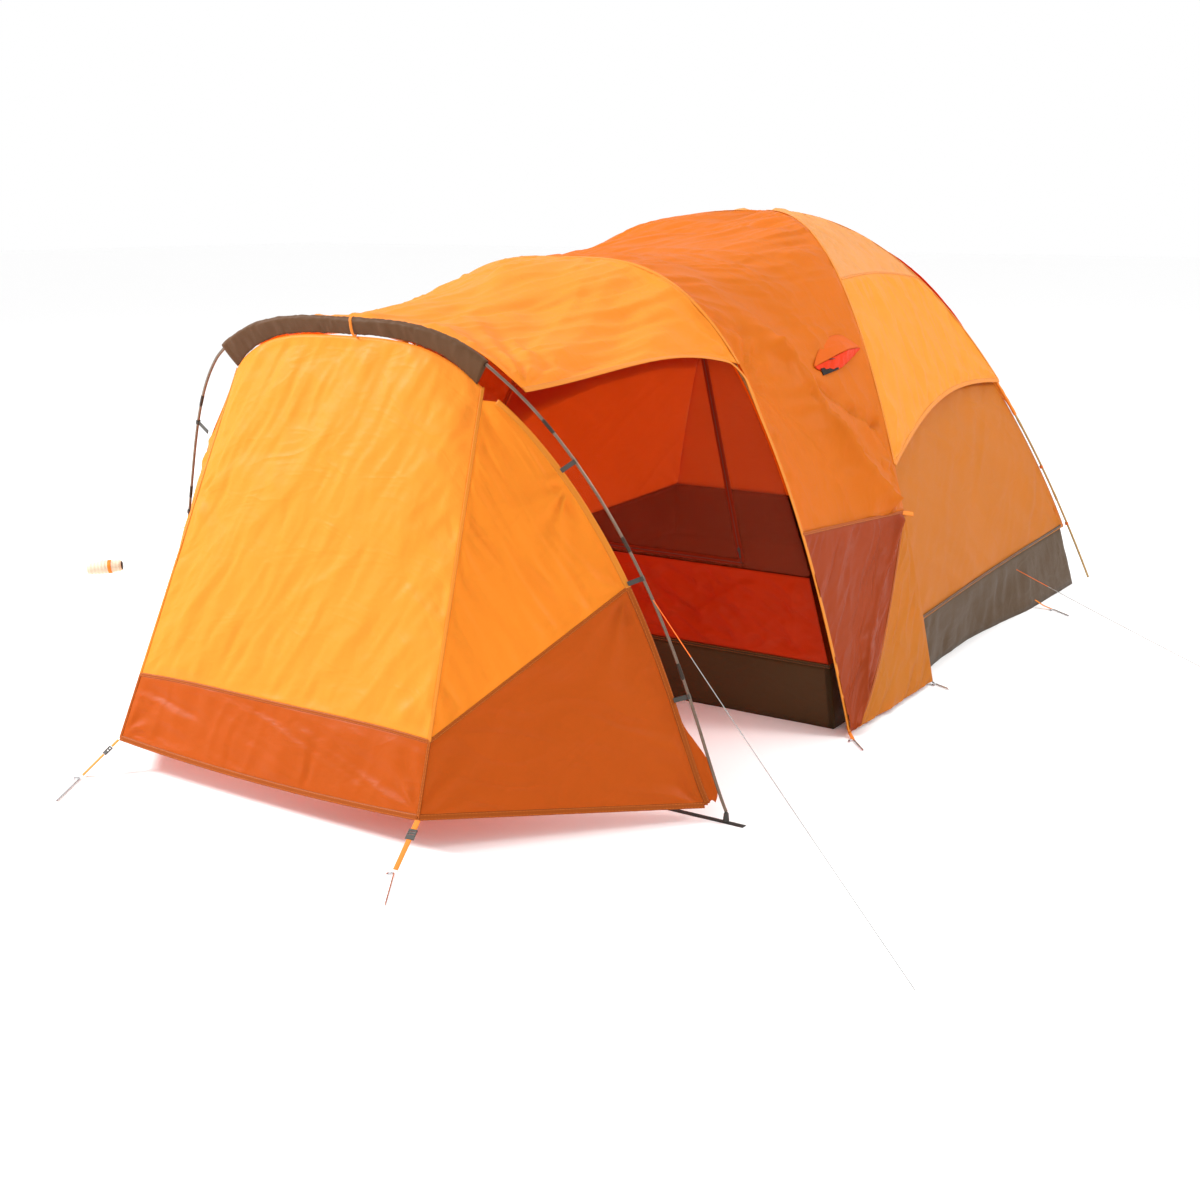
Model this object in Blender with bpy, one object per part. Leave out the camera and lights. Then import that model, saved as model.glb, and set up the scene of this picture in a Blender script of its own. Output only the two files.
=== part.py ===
"""Six-person dome tent with a hoop-pole vestibule. Metres, +Z up, +Y to the rear, z = 0 is the ground."""
import math

import bpy
import numpy as np

for old in list(bpy.data.objects):
    bpy.data.objects.remove(old, do_unlink=True)

# ---- overall sizes ----
FOOT_HALF = 1.330        # half width over the dome and brow pole feet
MID_FOOT_Y = -0.731      # line of the front dome pole feet
REAR_FOOT_Y = 1.525      # line of the rear dome pole feet
BROW_Y = -1.525          # plane of the brow pole, in front of the sleeping cabin
APEX_Y = 0.170           # where the dome poles cross
PEAK_Z = 1.950           # height of the crossing, pole centre line
FRONT_EXP = 2.8          # fullness of the front arms
REAR_EXP = 2.1           # fullness of the rear arms
FRONT_BOW = 0.100        # forward bow of the front arms in plan
BROW_TOP = 1.770         # height of the brow pole
HOOP_HALF = 1.400        # half width of the vestibule hoop
HOOP_TOP = 1.605         # height of the vestibule hoop
HOOP_Y = -2.580          # line of the hoop feet
HOOP_LEAN = 0.268        # how far the hoop top leans forward of its feet
BROW_EXP = 3.0           # fullness of the brow pole
HOOP_EXP = 3.4           # fullness of the hoop's crown
HOOP_LEG_EXP = 1.35      # and splay of its legs
HOOP_BOW = 0.090         # rearward bow of the hoop legs
HOOP_BOW_TOP = 1.450     # height where that bow ends
HEM_HALF = 0.697         # half width of the front hem
HEM_Y = -3.346           # front hem line
HEM_Z = 0.120            # height of the front hem corners
HEM_SAG = 0.022          # the hem is lower in the middle
FRONT_TOP_HALF = 0.4035714 * HOOP_HALF  # half width of the front panel under the sleeve

# ---- fabric ----
SHEET = 0.0015           # thickness of each fabric solid
SEAM = 0.0017            # each panel stops this far short of a seam line
FLY_OFFSET = 0.0145       # fly stands this far off the pole centre lines
BAND_Z = 0.340           # top of the front band at the seam
SIDE_BAND_T = 0.770      # where the side band meets the hoop edge, as a share of the half width
EDGE_SCALE = 0.945       # vestibule side edge against the hoop
LEFT_EDGE_DRAW = 0.050   # the left side edge is drawn in near its top
COLUMN_T_FRONT = 0.828   # foot panel top at the brow pole, share of the half width
COLUMN_T_REAR = 0.850    # foot panel top at the front arm
DOME_SAG = 0.075         # the fly dips behind the brow pole
WRAP = 0.030             # share by which the fly reaches forward round the brow pole
ARCH_T = (0.800, 0.700, 0.672)  # side fly edge: front arm, middle, rear arm
ROOF_HOOP_T = 0.500      # roof edge at the hoop
ROOF_BROW_T = 0.600      # roof edge at the brow
ROOF_EDGE_LIFT = 0.050    # doorway edge rises between the hoop and the brow
ROOF_DIP = 0.020         # the crown sags behind the hoop
ROOF_CROWN_EXP = 3.2     # fullness of the roof at its two poles
ROOF_RIDGE = 2.0         # how much sharper it is between them
REAR_FLY_T = 0.660       # rear fly edge
INSET_LOW = 0.068        # cabin walls stand this far inside the pole feet
INSET_HIGH = 0.014       # and this far inside the poles higher up
INSET_FADE = 0.180
FLOOR_HALF = 1.250       # floor half width on the ground
FLOOR_FRONT = -1.500
FLOOR_REAR = 1.475
TUB_FRONT = 0.250        # height of the bathtub floor walls, front
TUB_REAR = 0.330         # and rear
FRONT_WALL_GAP = 0.022   # cabin front wall stands behind the brow pole
LOW_PANEL_TOP = 0.590    # top of the solid lower front panel
DOOR_LOW = 0.830         # half width of the mesh door, lower corner
DOOR_HIGH = 0.640        # and upper corner
DOOR_TOP = 1.420
DOOR_GAP = 0.006

VENT_REACH = 0.36        # the hood's free edge passes the opening by this share
VENT_RISE = 0.050        # and stands this far out
VENT_CROWN = 0.014       # with this much arch along it
STRUT_FOOT = 0.06        # the prop stands this share below the opening
STRUT_LEAN = 28.0
STRUT_LENGTH = 0.034
# ---- poles and hardware ----
POLE_R = 0.0055
POLE_SIDES = 10
TIP_Z = 0.036            # pole ends stop this far above the ground
FOOT_R = 0.0105
CLEAR = 0.0004
CLIP_WALL = 0.0026
CLIP_WIDTH = 0.016
CLIP_TAB = 0.0035
CLIP_HEIGHTS = (1.180, 0.800, 0.410)
CORNER_CLIP_HEIGHTS = (0.650, 0.330)
STRAP_W = 0.020
STRAP_T = 0.0016
SLEEVE_R = 0.0108
SLEEVE_DEPTH_MID = 0.045
SLEEVE_DEPTH_END = 0.085
SLEEVE_T = 0.425
LOCK_W = 0.030
LOCK_L = 0.036
LOCK_T = 0.0042
LOCK_ROOM = 0.0015       # room for the buckle to tilt
SLOT = 0.0034
PEG_R = 0.0032
FRONT_PEG = 0.230
SIDE_PEG = 0.130
CORD_R = 0.0014

COLOURS = {
    "panel_light": (0.93, 0.40, 0.07),
    "panel_mid": (0.85, 0.29, 0.03),
    "panel_dark": (0.76, 0.20, 0.03),
    "burnt": (0.55, 0.09, 0.012),
    "tan": (0.68, 0.24, 0.04),
    "brown": (0.09, 0.06, 0.03),
    "mesh": (0.25, 0.04, 0.015),
    "red": (0.70, 0.07, 0.01),
    "pole": (0.10, 0.09, 0.08),
    "plastic": (0.035, 0.03, 0.025),
    "webbing": (0.90, 0.23, 0.01),
    "steel": (0.62, 0.62, 0.62),
    "cord": (0.72, 0.72, 0.70),
    "cream": (0.62, 0.56, 0.46),
}


def material(slot, name):
    mat = bpy.data.materials.new(name + "_mat")
    mat.use_nodes = True
    shader = mat.node_tree.nodes["Principled BSDF"]
    shader.inputs["Base Color"].default_value = (*COLOURS[slot], 1.0)
    shader.inputs["Roughness"].default_value = 0.6
    shader.inputs["Metallic"].default_value = 1.0 if slot == "steel" else 0.0
    mat.diffuse_color = (*COLOURS[slot], 1.0)
    return mat


def add(name, points, faces, slot, origin=(0.0, 0.0, 0.0), smooth=0):
    """A closed solid whose faces look outward, with its origin where asked.

    smooth is the corner count of the faces to shade smooth, or 0 for none.
    """
    points = np.asarray(points, float)
    origin = np.asarray(origin, float)
    volume = 0.0
    for face in faces:
        a = points[face[0]]
        for i in range(1, len(face) - 1):
            volume += np.dot(a, np.cross(points[face[i]], points[face[i + 1]]))
    if volume < 0:
        faces = [tuple(reversed(face)) for face in faces]
    mesh = bpy.data.meshes.new(name)
    mesh.from_pydata((points - origin).tolist(), [], [tuple(int(i) for i in f) for f in faces])
    mesh.validate()
    if smooth:
        mesh.polygons.foreach_set("use_smooth", [len(f) == smooth for f in faces])
    mesh.materials.append(material(slot, name))
    obj = bpy.data.objects.new(name, mesh)
    obj.location = origin
    bpy.context.scene.collection.objects.link(obj)
    return obj


def unit(v):
    v = np.asarray(v, float)
    return v / np.linalg.norm(v)


def mix(a, b, s):
    return np.asarray(a, float) * (1 - s) + np.asarray(b, float) * s


def panel(name, surface, nu, nv, slot, inside, offset=0.0, trim=(SEAM, SEAM, SEAM, SEAM),
          hole=None, thick=SHEET, origin=(0, 0, 0)):
    """A fabric panel: surface(u, v) for u and v from 0 to 1, given its thickness along the normal."""
    step = 1e-3

    def length(fixed, along_u):
        line = [surface(s, fixed) if along_u else surface(fixed, s) for s in np.linspace(0, 1, 9)]
        return max(sum(np.linalg.norm(b - a) for a, b in zip(line, line[1:])), 1e-6)

    grid = {}
    centre = surface(0.5, 0.5)
    du = surface(0.5 + step, 0.5) - surface(0.5 - step, 0.5)
    dv = surface(0.5, 0.5 + step) - surface(0.5, 0.5 - step)
    turn = 1.0 if np.dot(np.cross(du, dv), centre - np.asarray(inside, float)) > 0 else -1.0
    points = []
    for j in range(nv + 1):
        for i in range(nu + 1):
            u0, v0 = i / nu, j / nv
            lu, lv = length(v0, True), length(u0, False)
            u = min(trim[0] / lu, 0.4) + u0 * (1 - min(trim[0] / lu, 0.4) - min(trim[1] / lu, 0.4))
            v = min(trim[2] / lv, 0.4) + v0 * (1 - min(trim[2] / lv, 0.4) - min(trim[3] / lv, 0.4))
            p = surface(u, v)
            a = surface(min(u + step, 1), v) - surface(max(u - step, 0), v)
            b = surface(u, min(v + step, 1)) - surface(u, max(v - step, 0))
            n = unit(np.cross(a, b)) * turn
            grid[i, j] = len(points)
            points.append(p + n * offset)
            points.append(p + n * (offset - thick))
    return shell(name, points, grid, nu, nv, slot, hole, origin)


def shell(name, points, grid, nu, nv, slot, hole, origin):
    """Two skins of a grid joined round every open edge."""
    kept = {(i, j) for i in range(nu) for j in range(nv)}
    if hole:
        kept -= {(i, j) for i in range(hole[0], hole[1]) for j in range(hole[2], hole[3])}
    faces = []
    for i, j in sorted(kept):
        ring = [grid[i, j], grid[i + 1, j], grid[i + 1, j + 1], grid[i, j + 1]]
        # a cell isn't flat, so both skins are split on the same diagonal and can't cross
        for half in ((ring[0], ring[1], ring[2]), (ring[0], ring[2], ring[3])):
            faces.append(half)
            faces.append(tuple(k + 1 for k in reversed(half)))
        sides = {(i, j - 1): (ring[0], ring[1]), (i + 1, j): (ring[1], ring[2]),
                 (i, j + 1): (ring[2], ring[3]), (i - 1, j): (ring[3], ring[0])}
        for other, (a, b) in sides.items():
            if other not in kept:
                faces.append((b, a, a + 1, b + 1))
    used = sorted({k for face in faces for k in face})
    index = {k: n for n, k in enumerate(used)}
    return add(name, [points[k] for k in used], [tuple(index[k] for k in f) for f in faces],
               slot, origin, smooth=3)


def frames(path, up=(0, 0, 1)):
    """Tangent and two cross directions at each point of a path, without twist."""
    path = np.asarray(path, float)
    tangents = [unit(path[min(i + 1, len(path) - 1)] - path[max(i - 1, 0)]) for i in range(len(path))]
    side = np.cross(tangents[0], up)
    if np.linalg.norm(side) < 1e-6:
        side = np.cross(tangents[0], (1, 0, 0))
    out = []
    for t in tangents:
        side = unit(side - t * np.dot(side, t))
        out.append((t, side, np.cross(side, t)))
    return out


def sweep(name, path, section, slot, origin=(0, 0, 0), up=(0, 0, 1), smooth=4):
    """A solid along a path; section is a list of (side, height) points or a function of position."""
    points, faces = [], []
    count = None
    for k, (p, (_, side, high)) in enumerate(zip(np.asarray(path, float), frames(path, up))):
        outline = section(k / (len(path) - 1)) if callable(section) else section
        count = len(outline)
        points += [p + side * a + high * b for a, b in outline]
    for k in range(len(path) - 1):
        for i in range(count):
            j = (i + 1) % count
            a = k * count
            faces.append((a + i, a + j, a + count + j, a + count + i))
    last = (len(path) - 1) * count
    faces.append(tuple(reversed(range(count))))
    faces.append(tuple(range(last, last + count)))
    return add(name, points, faces, slot, origin, smooth)


def circle(radius, sides=POLE_SIDES):
    return [(radius * math.cos(2 * math.pi * k / sides), radius * math.sin(2 * math.pi * k / sides))
            for k in range(sides)]


def flat(width, thick):
    w, t = width / 2, thick / 2
    return [(-w, -t), (w, -t), (w, t), (-w, t)]


def even(curve, t0, t1, count):
    """Points of a curve at equal steps of length."""
    fine = np.array([curve(t) for t in np.linspace(t0, t1, 400)])
    run = np.concatenate([[0], np.cumsum(np.linalg.norm(np.diff(fine, axis=0), axis=1))])
    want = np.linspace(0, run[-1], count)
    return np.array([[np.interp(w, run, fine[:, k]) for k in range(3)] for w in want])


# ---- pole lines; t runs from -1 at the left foot to +1 at the right foot ----
def hoop_plane(x, z):
    bow = HOOP_BOW * math.sin(math.pi * min(max(z, 0.0) / HOOP_BOW_TOP, 1.0))
    return np.array([x, HOOP_Y - HOOP_LEAN * z / HOOP_TOP + bow, z])


def hoop(t, scale=1.0, drop=0.0):
    z = scale * HOOP_TOP * (1 - abs(t) ** HOOP_EXP) ** HOOP_LEG_EXP - drop
    return hoop_plane(HOOP_HALF * scale * t, z)


def hoop_share(z):
    """Share of the half width at which the hoop has height z."""
    return (1 - (z / HOOP_TOP) ** (1 / HOOP_LEG_EXP)) ** (1 / HOOP_EXP)


def brow(t):
    return np.array([FOOT_HALF * t, BROW_Y, BROW_TOP * (1 - abs(t) ** BROW_EXP)])


def front_arm(t):
    s = abs(t)
    y = MID_FOOT_Y + (APEX_Y - MID_FOOT_Y) * (1 - s) - FRONT_BOW * 4 * s * (1 - s)
    return np.array([FOOT_HALF * t, y, PEAK_Z * (1 - s ** FRONT_EXP)])


def rear_arm(t):
    s = abs(t)
    y = REAR_FOOT_Y + (APEX_Y - REAR_FOOT_Y) * (1 - s)
    return np.array([FOOT_HALF * t, y, PEAK_Z * (1 - s ** REAR_EXP)])


def at_height(curve, z, sign, top, power):
    return curve(sign * (1 - z / top) ** (1 / power))


def inset(z, low, high):
    return high + low * math.exp(-z / INSET_FADE)


CENTRE = np.array([0.0, 0.2, 0.6])


# ---- fly over the cabin ----
def dome_front(u, v):
    limit = COLUMN_T_FRONT + (COLUMN_T_REAR - COLUMN_T_FRONT) * v
    t = (2 * u - 1) * limit
    w = fly_wrap(abs(t), v)
    p = mix(brow(t), front_arm(t), w)
    p[2] -= DOME_SAG * math.sin(math.pi * v) * (1 - v) ** 0.6 * (1 - t * t)
    return p


def fly_wrap(t, v):
    """Below the roof edge the fly reaches a little forward of the brow pole."""
    rise = min(max((t - ROOF_BROW_T) / 0.10, 0.0), 1.0)
    ahead = WRAP * rise * rise * (3 - 2 * rise)
    return v - ahead * (1 - v)


def leg_surface(sign, t, v):
    return mix(brow(sign * t), front_arm(sign * t), v)


def dome_side(sign):
    def surface(u, v):
        low = ARCH_T[0] * (1 - u) ** 2 + ARCH_T[1] * 2 * u * (1 - u) + ARCH_T[2] * u * u
        low -= 0.012 * math.sin(math.pi * u)
        t = 0.035 + (low - 0.035) * v
        p = mix(front_arm(sign * t), rear_arm(sign * t), u)
        p[0] -= sign * 0.018 * math.sin(math.pi * u) * v
        return p
    return surface


def rear_level(t, low=0.0):
    """Left-to-right line of the rear face at the height of share t."""
    return rear_arm(t)


def dome_rear(u, v):
    t = 0.035 + (REAR_FLY_T - 0.035) * v
    p = rear_arm(t)
    span = abs(p[0])
    return np.array([span * (2 * u - 1), p[1] - 0.015 * math.sin(math.pi * u) * v, p[2]])


FRONT_CELLS = 32
VENT_CELLS = (27, 28, 5, 8)
panel("dome_fly_front", dome_front, FRONT_CELLS, 10, "panel_dark", CENTRE, FLY_OFFSET, hole=VENT_CELLS)
for label, sign in (("right", 1), ("left", -1)):
    panel(f"dome_fly_side_{label}", dome_side(sign), 10, 8, "panel_light", CENTRE, FLY_OFFSET)
panel("dome_fly_rear", dome_rear, 10, 8, "panel_light", CENTRE, FLY_OFFSET)


def column(sign):
    """Lower fly panel, from the dome fly edge down to the corner peg."""
    def surface(u, v):
        top = COLUMN_T_FRONT + (COLUMN_T_REAR - COLUMN_T_FRONT) * u
        t = 0.9975 - (0.9975 - top) * (1 - v) ** 1.6
        return leg_surface(sign, t, u * (1 - v) - WRAP * (1 - u))
    return surface


def flap(sign):
    """Lower fly flap, from the foot panel back to the front arm."""
    def surface(u, v):
        t = 0.9980 - (0.9980 - COLUMN_T_REAR) * (1 - v) ** 1.6
        low = max(0.02, 1 - v)
        p = leg_surface(sign, t, low + (1.014 - low) * u)
        p[2] = max(p[2], 0.004)
        return p
    return surface


for label, sign in (("right", 1), ("left", -1)):
    panel(f"corner_fly_{label}", column(sign), 5, 8, "burnt", CENTRE, FLY_OFFSET,
          trim=(0.004, 0.004, SEAM, 0.03))
    panel(f"corner_flap_{label}", flap(sign), 5, 8, "tan", CENTRE, FLY_OFFSET, trim=(0.003, 0.0, 0.03, 0.0))


# ---- cabin walls and floor ----
def side_wall(sign):
    def surface(u, v):
        y_share = u
        low = TUB_FRONT + (TUB_REAR - TUB_FRONT) * u + 0.006
        z = 1.22 + (low - 1.22) * v
        a = at_height(front_arm, z, sign, PEAK_Z, FRONT_EXP)
        b = at_height(rear_arm, z, sign, PEAK_Z, REAR_EXP)
        p = mix(a, b, y_share)
        p[0] -= sign * (inset(z, INSET_LOW, INSET_HIGH) + 0.02 * math.sin(math.pi * u))
        return p
    return surface


def rear_wall(u, v):
    z = 1.24 + (TUB_REAR + 0.006 - 1.24) * v
    p = at_height(rear_arm, z, 1, PEAK_Z, REAR_EXP)
    span = p[0] - inset(z, INSET_LOW, INSET_HIGH) - 0.014
    return np.array([span * (2 * u - 1), p[1] - inset(z, INSET_LOW, INSET_HIGH) - 0.01, z])


for label, sign in (("right", 1), ("left", -1)):
    panel(f"cabin_wall_{label}", side_wall(sign), 10, 6, "tan", CENTRE, 0.0, trim=(0.02, 0.03, 0, 0))
panel("cabin_wall_rear", rear_wall, 10, 6, "tan", CENTRE, 0.0, trim=(0, 0, 0, 0))


def tub_ring():
    """Corners and edges of the floor, as (x, y) on the ground and (x, y, z) at the top."""
    low, high = [], []

    def top_x(y, z):
        share = min(max((y - MID_FOOT_Y) / (REAR_FOOT_Y - MID_FOOT_Y), 0), 1)
        a = at_height(front_arm, z, 1, PEAK_Z, FRONT_EXP)[0]
        b = at_height(rear_arm, z, 1, PEAK_Z, REAR_EXP)[0]
        x = a + (b - a) * share - inset(z, INSET_LOW, INSET_HIGH)
        return x - 0.02 * math.sin(math.pi * share)

    side = list(np.linspace(FLOOR_FRONT, MID_FOOT_Y, 4)) + list(np.linspace(MID_FOOT_Y, FLOOR_REAR, 7))[1:]
    for y in side:
        share = min(max((y - MID_FOOT_Y) / (FLOOR_REAR - MID_FOOT_Y), 0), 1)
        z = TUB_FRONT + (TUB_REAR - TUB_FRONT) * share
        wall_in = inset(z, INSET_LOW, INSET_HIGH) + 0.01
        y_top = min(y, at_height(rear_arm, z, 1, PEAK_Z, REAR_EXP)[1] - wall_in)
        low.append((FLOOR_HALF, y, 0.0))
        high.append((top_x(y, z) - 0.003 - (0.012 if y < MID_FOOT_Y - 0.01 else 0), y_top, z))
    rear_top = high[-1]
    count = 6
    for k in range(1, count):
        s = 1 - 2 * k / count
        low.append((FLOOR_HALF * s, FLOOR_REAR, 0.0))
        high.append((rear_top[0] * s, rear_top[1], rear_top[2]))
    right_low, right_high = low[:len(side)], high[:len(side)]
    low += [(-x, y, z) for x, y, z in reversed(right_low)]
    high += [(-x, y, z) for x, y, z in reversed(right_high)]
    front_top = right_high[0]
    for k in range(1, count):
        s = -1 + 2 * k / count
        low.append((FLOOR_HALF * s, FLOOR_FRONT, 0.0))
        high.append((front_top[0] * s, front_top[1], front_top[2]))
    return np.array(low), np.array(high)


def tub():
    wall = 0.0025
    low, high = tub_ring()
    mid = np.array([0, (FLOOR_FRONT + FLOOR_REAR) / 2, 0])
    half = np.array([FLOOR_HALF, (FLOOR_REAR - FLOOR_FRONT) / 2, 1])

    def inner(points, lift):
        out = (points - mid) * (1 - wall / half * np.array([1, 1, 0])) + mid
        return out + np.array([0, 0, lift])
    rings = [low, high, inner(high, 0), inner(low, wall)]
    count = len(low)
    points = np.concatenate(rings)
    faces = []
    for r in range(3):
        for i in range(count):
            j = (i + 1) % count
            a, b, c, d = r * count + i, r * count + j, (r + 1) * count + j, (r + 1) * count + i
            # the inner wall runs from top to bottom, so its matching diagonal is the other one
            faces += [(b, c, d), (b, d, a)] if r == 2 else [(a, b, c), (a, c, d)]
    faces.append(tuple(reversed(range(count))))
    faces.append(tuple(range(3 * count, 4 * count)))
    return add("bathtub_floor", points, faces, "brown")


tub()


def plate(name, outer, inner, y, thick, slot, origin=(0, 0, 0)):
    """An upright plate with an optional hole; outer and inner are equally long lists of (x, z)."""
    points, faces = [], []
    count = len(outer)
    loops = [outer] + ([inner] if inner else [])
    for loop in loops:
        points += [(x, y, z) for x, z in loop]
        points += [(x, y + thick, z) for x, z in loop]
    for n in range(len(loops)):
        a = 2 * count * n
        for i in range(count):
            j = (i + 1) % count
            face = (a + i, a + j, a + count + j, a + count + i)
            faces.append(face if n == 0 else tuple(reversed(face)))
    if inner:
        b = 2 * count
        for i in range(count):
            j = (i + 1) % count
            faces.append((b + i, b + j, j, i))
            faces.append((count + i, count + j, b + count + j, b + count + i))
    else:
        faces.append(tuple(reversed(range(count))))
        faces.append(tuple(range(count, 2 * count)))
    return add(name, points, faces, slot, origin)


def resample(corners, per_side):
    out = []
    for (a, b), n in zip(zip(corners, corners[1:] + corners[:1]), per_side):
        out += [tuple(mix(a, b, k / n)) for k in range(n)]
    return out


WALL_Y = BROW_Y + FRONT_WALL_GAP


def wall_half(z):
    return FOOT_HALF * (1 - z / BROW_TOP) ** (1 / BROW_EXP) - 0.030


low_z, top_z = TUB_FRONT + 0.006, 1.70
arc_z = np.concatenate([np.linspace(LOW_PANEL_TOP + 0.004, DOOR_TOP, 7), [1.56, top_z]])
right_edge = [(wall_half(z), z) for z in arc_z]
left_edge = [(-x, z) for x, z in reversed(right_edge)]
bottom_edge = [(wall_half(arc_z[0]) * s, arc_z[0]) for s in (-0.75, -0.5, 0.0, 0.5, 0.75)]
outer = right_edge + left_edge + bottom_edge
door = [(DOOR_LOW, LOW_PANEL_TOP + 0.025), (DOOR_HIGH, DOOR_TOP), (-DOOR_HIGH, DOOR_TOP),
        (-DOOR_LOW, LOW_PANEL_TOP + 0.025)]
door_ring = resample(door, [7, 4, 7, 5])[:len(outer)]
# the ring starts at the lower right corner, as the outer edge does
plate("cabin_front_wall", outer, door_ring, WALL_Y, SHEET, "mesh")
inner_door = [(DOOR_LOW - DOOR_GAP, door[0][1] + DOOR_GAP), (DOOR_HIGH - DOOR_GAP, DOOR_TOP - DOOR_GAP),
              (-DOOR_HIGH + DOOR_GAP, DOOR_TOP - DOOR_GAP), (-DOOR_LOW + DOOR_GAP, door[0][1] + DOOR_GAP)]
hinge_low = np.array([-DOOR_LOW, WALL_Y, door[0][1]])
plate("cabin_door", resample(inner_door, [6, 5, 6, 6]), None, WALL_Y, SHEET, "mesh", origin=tuple(hinge_low))
low_panel = [(wall_half(low_z) - 0.012, low_z), (wall_half(LOW_PANEL_TOP) - 0.006, LOW_PANEL_TOP),
             (-wall_half(LOW_PANEL_TOP) + 0.006, LOW_PANEL_TOP), (-wall_half(low_z) + 0.012, low_z)]
plate("cabin_front_panel", resample(low_panel, [3, 6, 3, 6]), None, WALL_Y, SHEET, "red")
slider_at = mix((DOOR_LOW, WALL_Y, door[0][1]), (DOOR_HIGH, WALL_Y, DOOR_TOP), 0.06)
zip_dir = unit(np.array([DOOR_HIGH - DOOR_LOW, 0, DOOR_TOP - door[0][1]]))
slider_path = [slider_at + np.array([0, -0.006, 0]) + zip_dir * s for s in (-0.030, -0.012, 0.0, 0.012)]
slider_wide = [0.003, 0.003, 0.006, 0.0045]
sweep("door_zip_slider", slider_path,
      lambda s: flat(2 * slider_wide[min(int(s * 3 + 0.5), 3)], 0.004),
      "plastic", origin=tuple(slider_at), up=(0, -1, 0), smooth=0)


# ---- vestibule ----
def sleeve_depth(t):
    return SLEEVE_DEPTH_MID + (SLEEVE_DEPTH_END - SLEEVE_DEPTH_MID) * (abs(t) / SLEEVE_T) ** 3


def front_top(x):
    t = x / HOOP_HALF
    p = hoop(t)
    drop = sleeve_depth(min(abs(t), SLEEVE_T)) + 0.005
    slope = (hoop(t + 0.002)[2] - hoop(t - 0.002)[2]) / (0.004 * HOOP_HALF)
    return hoop_plane(x, p[2] - drop * math.sqrt(1 + slope * slope))


def hem(s):
    """Front hem, s from -1 to 1."""
    return np.array([HEM_HALF * s, HEM_Y, HEM_Z - HEM_SAG * (1 - s * s)])


SEAM_TOP = front_top(FRONT_TOP_HALF)
BAND_SHARE = (SEAM_TOP[2] - BAND_Z) / (SEAM_TOP[2] - HEM_Z)


def front_face(v0, v1):
    def surface(u, v):
        s = 2 * u - 1
        w = v0 + (v1 - v0) * v
        p = mix(front_top(FRONT_TOP_HALF * s), hem(s), w)
        p[1] += 0.020 * math.sin(math.pi * w) * (1 - s * s)
        return p
    return surface


def side_edge(t):
    p = hoop(t, scale=EDGE_SCALE, drop=-0.045 * abs(t) ** 3)
    p[1] -= 0.015
    return p


EDGE_T0, EDGE_T1 = 0.470, 0.994


def side_face(sign, band):
    def surface(u, v):
        top = 0.030
        share_seam, share_edge = BAND_SHARE, (SIDE_BAND_T - EDGE_T0) / (EDGE_T1 - EDGE_T0)
        if band:
            a = share_seam + (1 - share_seam) * v
            b = share_edge + (1 - share_edge) * v
        else:
            a, b = top + (share_seam - top) * v, share_edge * v
        seam = mix(SEAM_TOP, hem(1), a)
        edge = side_edge(EDGE_T0 + (EDGE_T1 - EDGE_T0) * b)
        p = mix(seam, edge, u)
        p[2] = max(p[2], 0.012)
        if sign < 0:
            p[0] -= LEFT_EDGE_DRAW * u * math.exp(-((p[2] - 1.30) / 0.17) ** 2)
        p[0] *= sign
        return p
    return surface


VEST_CENTRE = np.array([0.0, -2.4, 0.5])
panel("vestibule_front", front_face(0, BAND_SHARE), 12, 8, "panel_light", VEST_CENTRE, 0.0)
panel("vestibule_front_band", front_face(BAND_SHARE, 1), 12, 3, "burnt", VEST_CENTRE, 0.0)
for label, sign in (("right", 1), ("left", -1)):
    panel(f"vestibule_side_{label}", side_face(sign, False), 6, 8, "panel_mid", VEST_CENTRE, 0.0)
    panel(f"vestibule_side_band_{label}", side_face(sign, True), 6, 5, "burnt", VEST_CENTRE, 0.0)


def roof(u, v):
    s = 2 * u - 1
    a = hoop(ROOF_HOOP_T * s) + np.array([0, 0.026, -0.006])
    b = brow(ROOF_BROW_T * s) + np.array([0, -0.002, 0])
    crown_a, crown_b = hoop(0)[2] - 0.006, brow(0)[2]
    edge_a, edge_b = hoop(ROOF_HOOP_T)[2] - 0.006, brow(ROOF_BROW_T)[2]
    crown = crown_a + (crown_b - crown_a) * v * v * (3 - 2 * v) - ROOF_DIP * math.sin(math.pi * v) * (1 - v)
    edge = edge_a + (edge_b - edge_a) * v + ROOF_EDGE_LIFT * math.sin(math.pi * v ** 1.6)
    ridge = ROOF_CROWN_EXP - ROOF_RIDGE * math.sin(math.pi * v) ** 0.7
    p = mix(a, b, v)
    p[2] = edge + (crown - edge) * (1 - abs(s) ** ridge)
    return p


panel("vestibule_roof", roof, 14, 12, "panel_mid", VEST_CENTRE, FLY_OFFSET, trim=(0, 0, 0.004, SEAM + 0.001))


def left_door(u, v):
    z = 1.330 + (0.030 - 1.330) * v
    share = hoop_share(z / EDGE_SCALE)
    a = hoop(-share, scale=EDGE_SCALE) + np.array([0, 0.035, 0])
    b = at_height(brow, z, -1, BROW_TOP, BROW_EXP) + np.array([-0.004, -0.016, 0])
    return mix(a, b, u)


panel("vestibule_door_left", left_door, 8, 8, "panel_mid", VEST_CENTRE, 0.0, trim=(0, 0, 0, 0))


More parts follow.
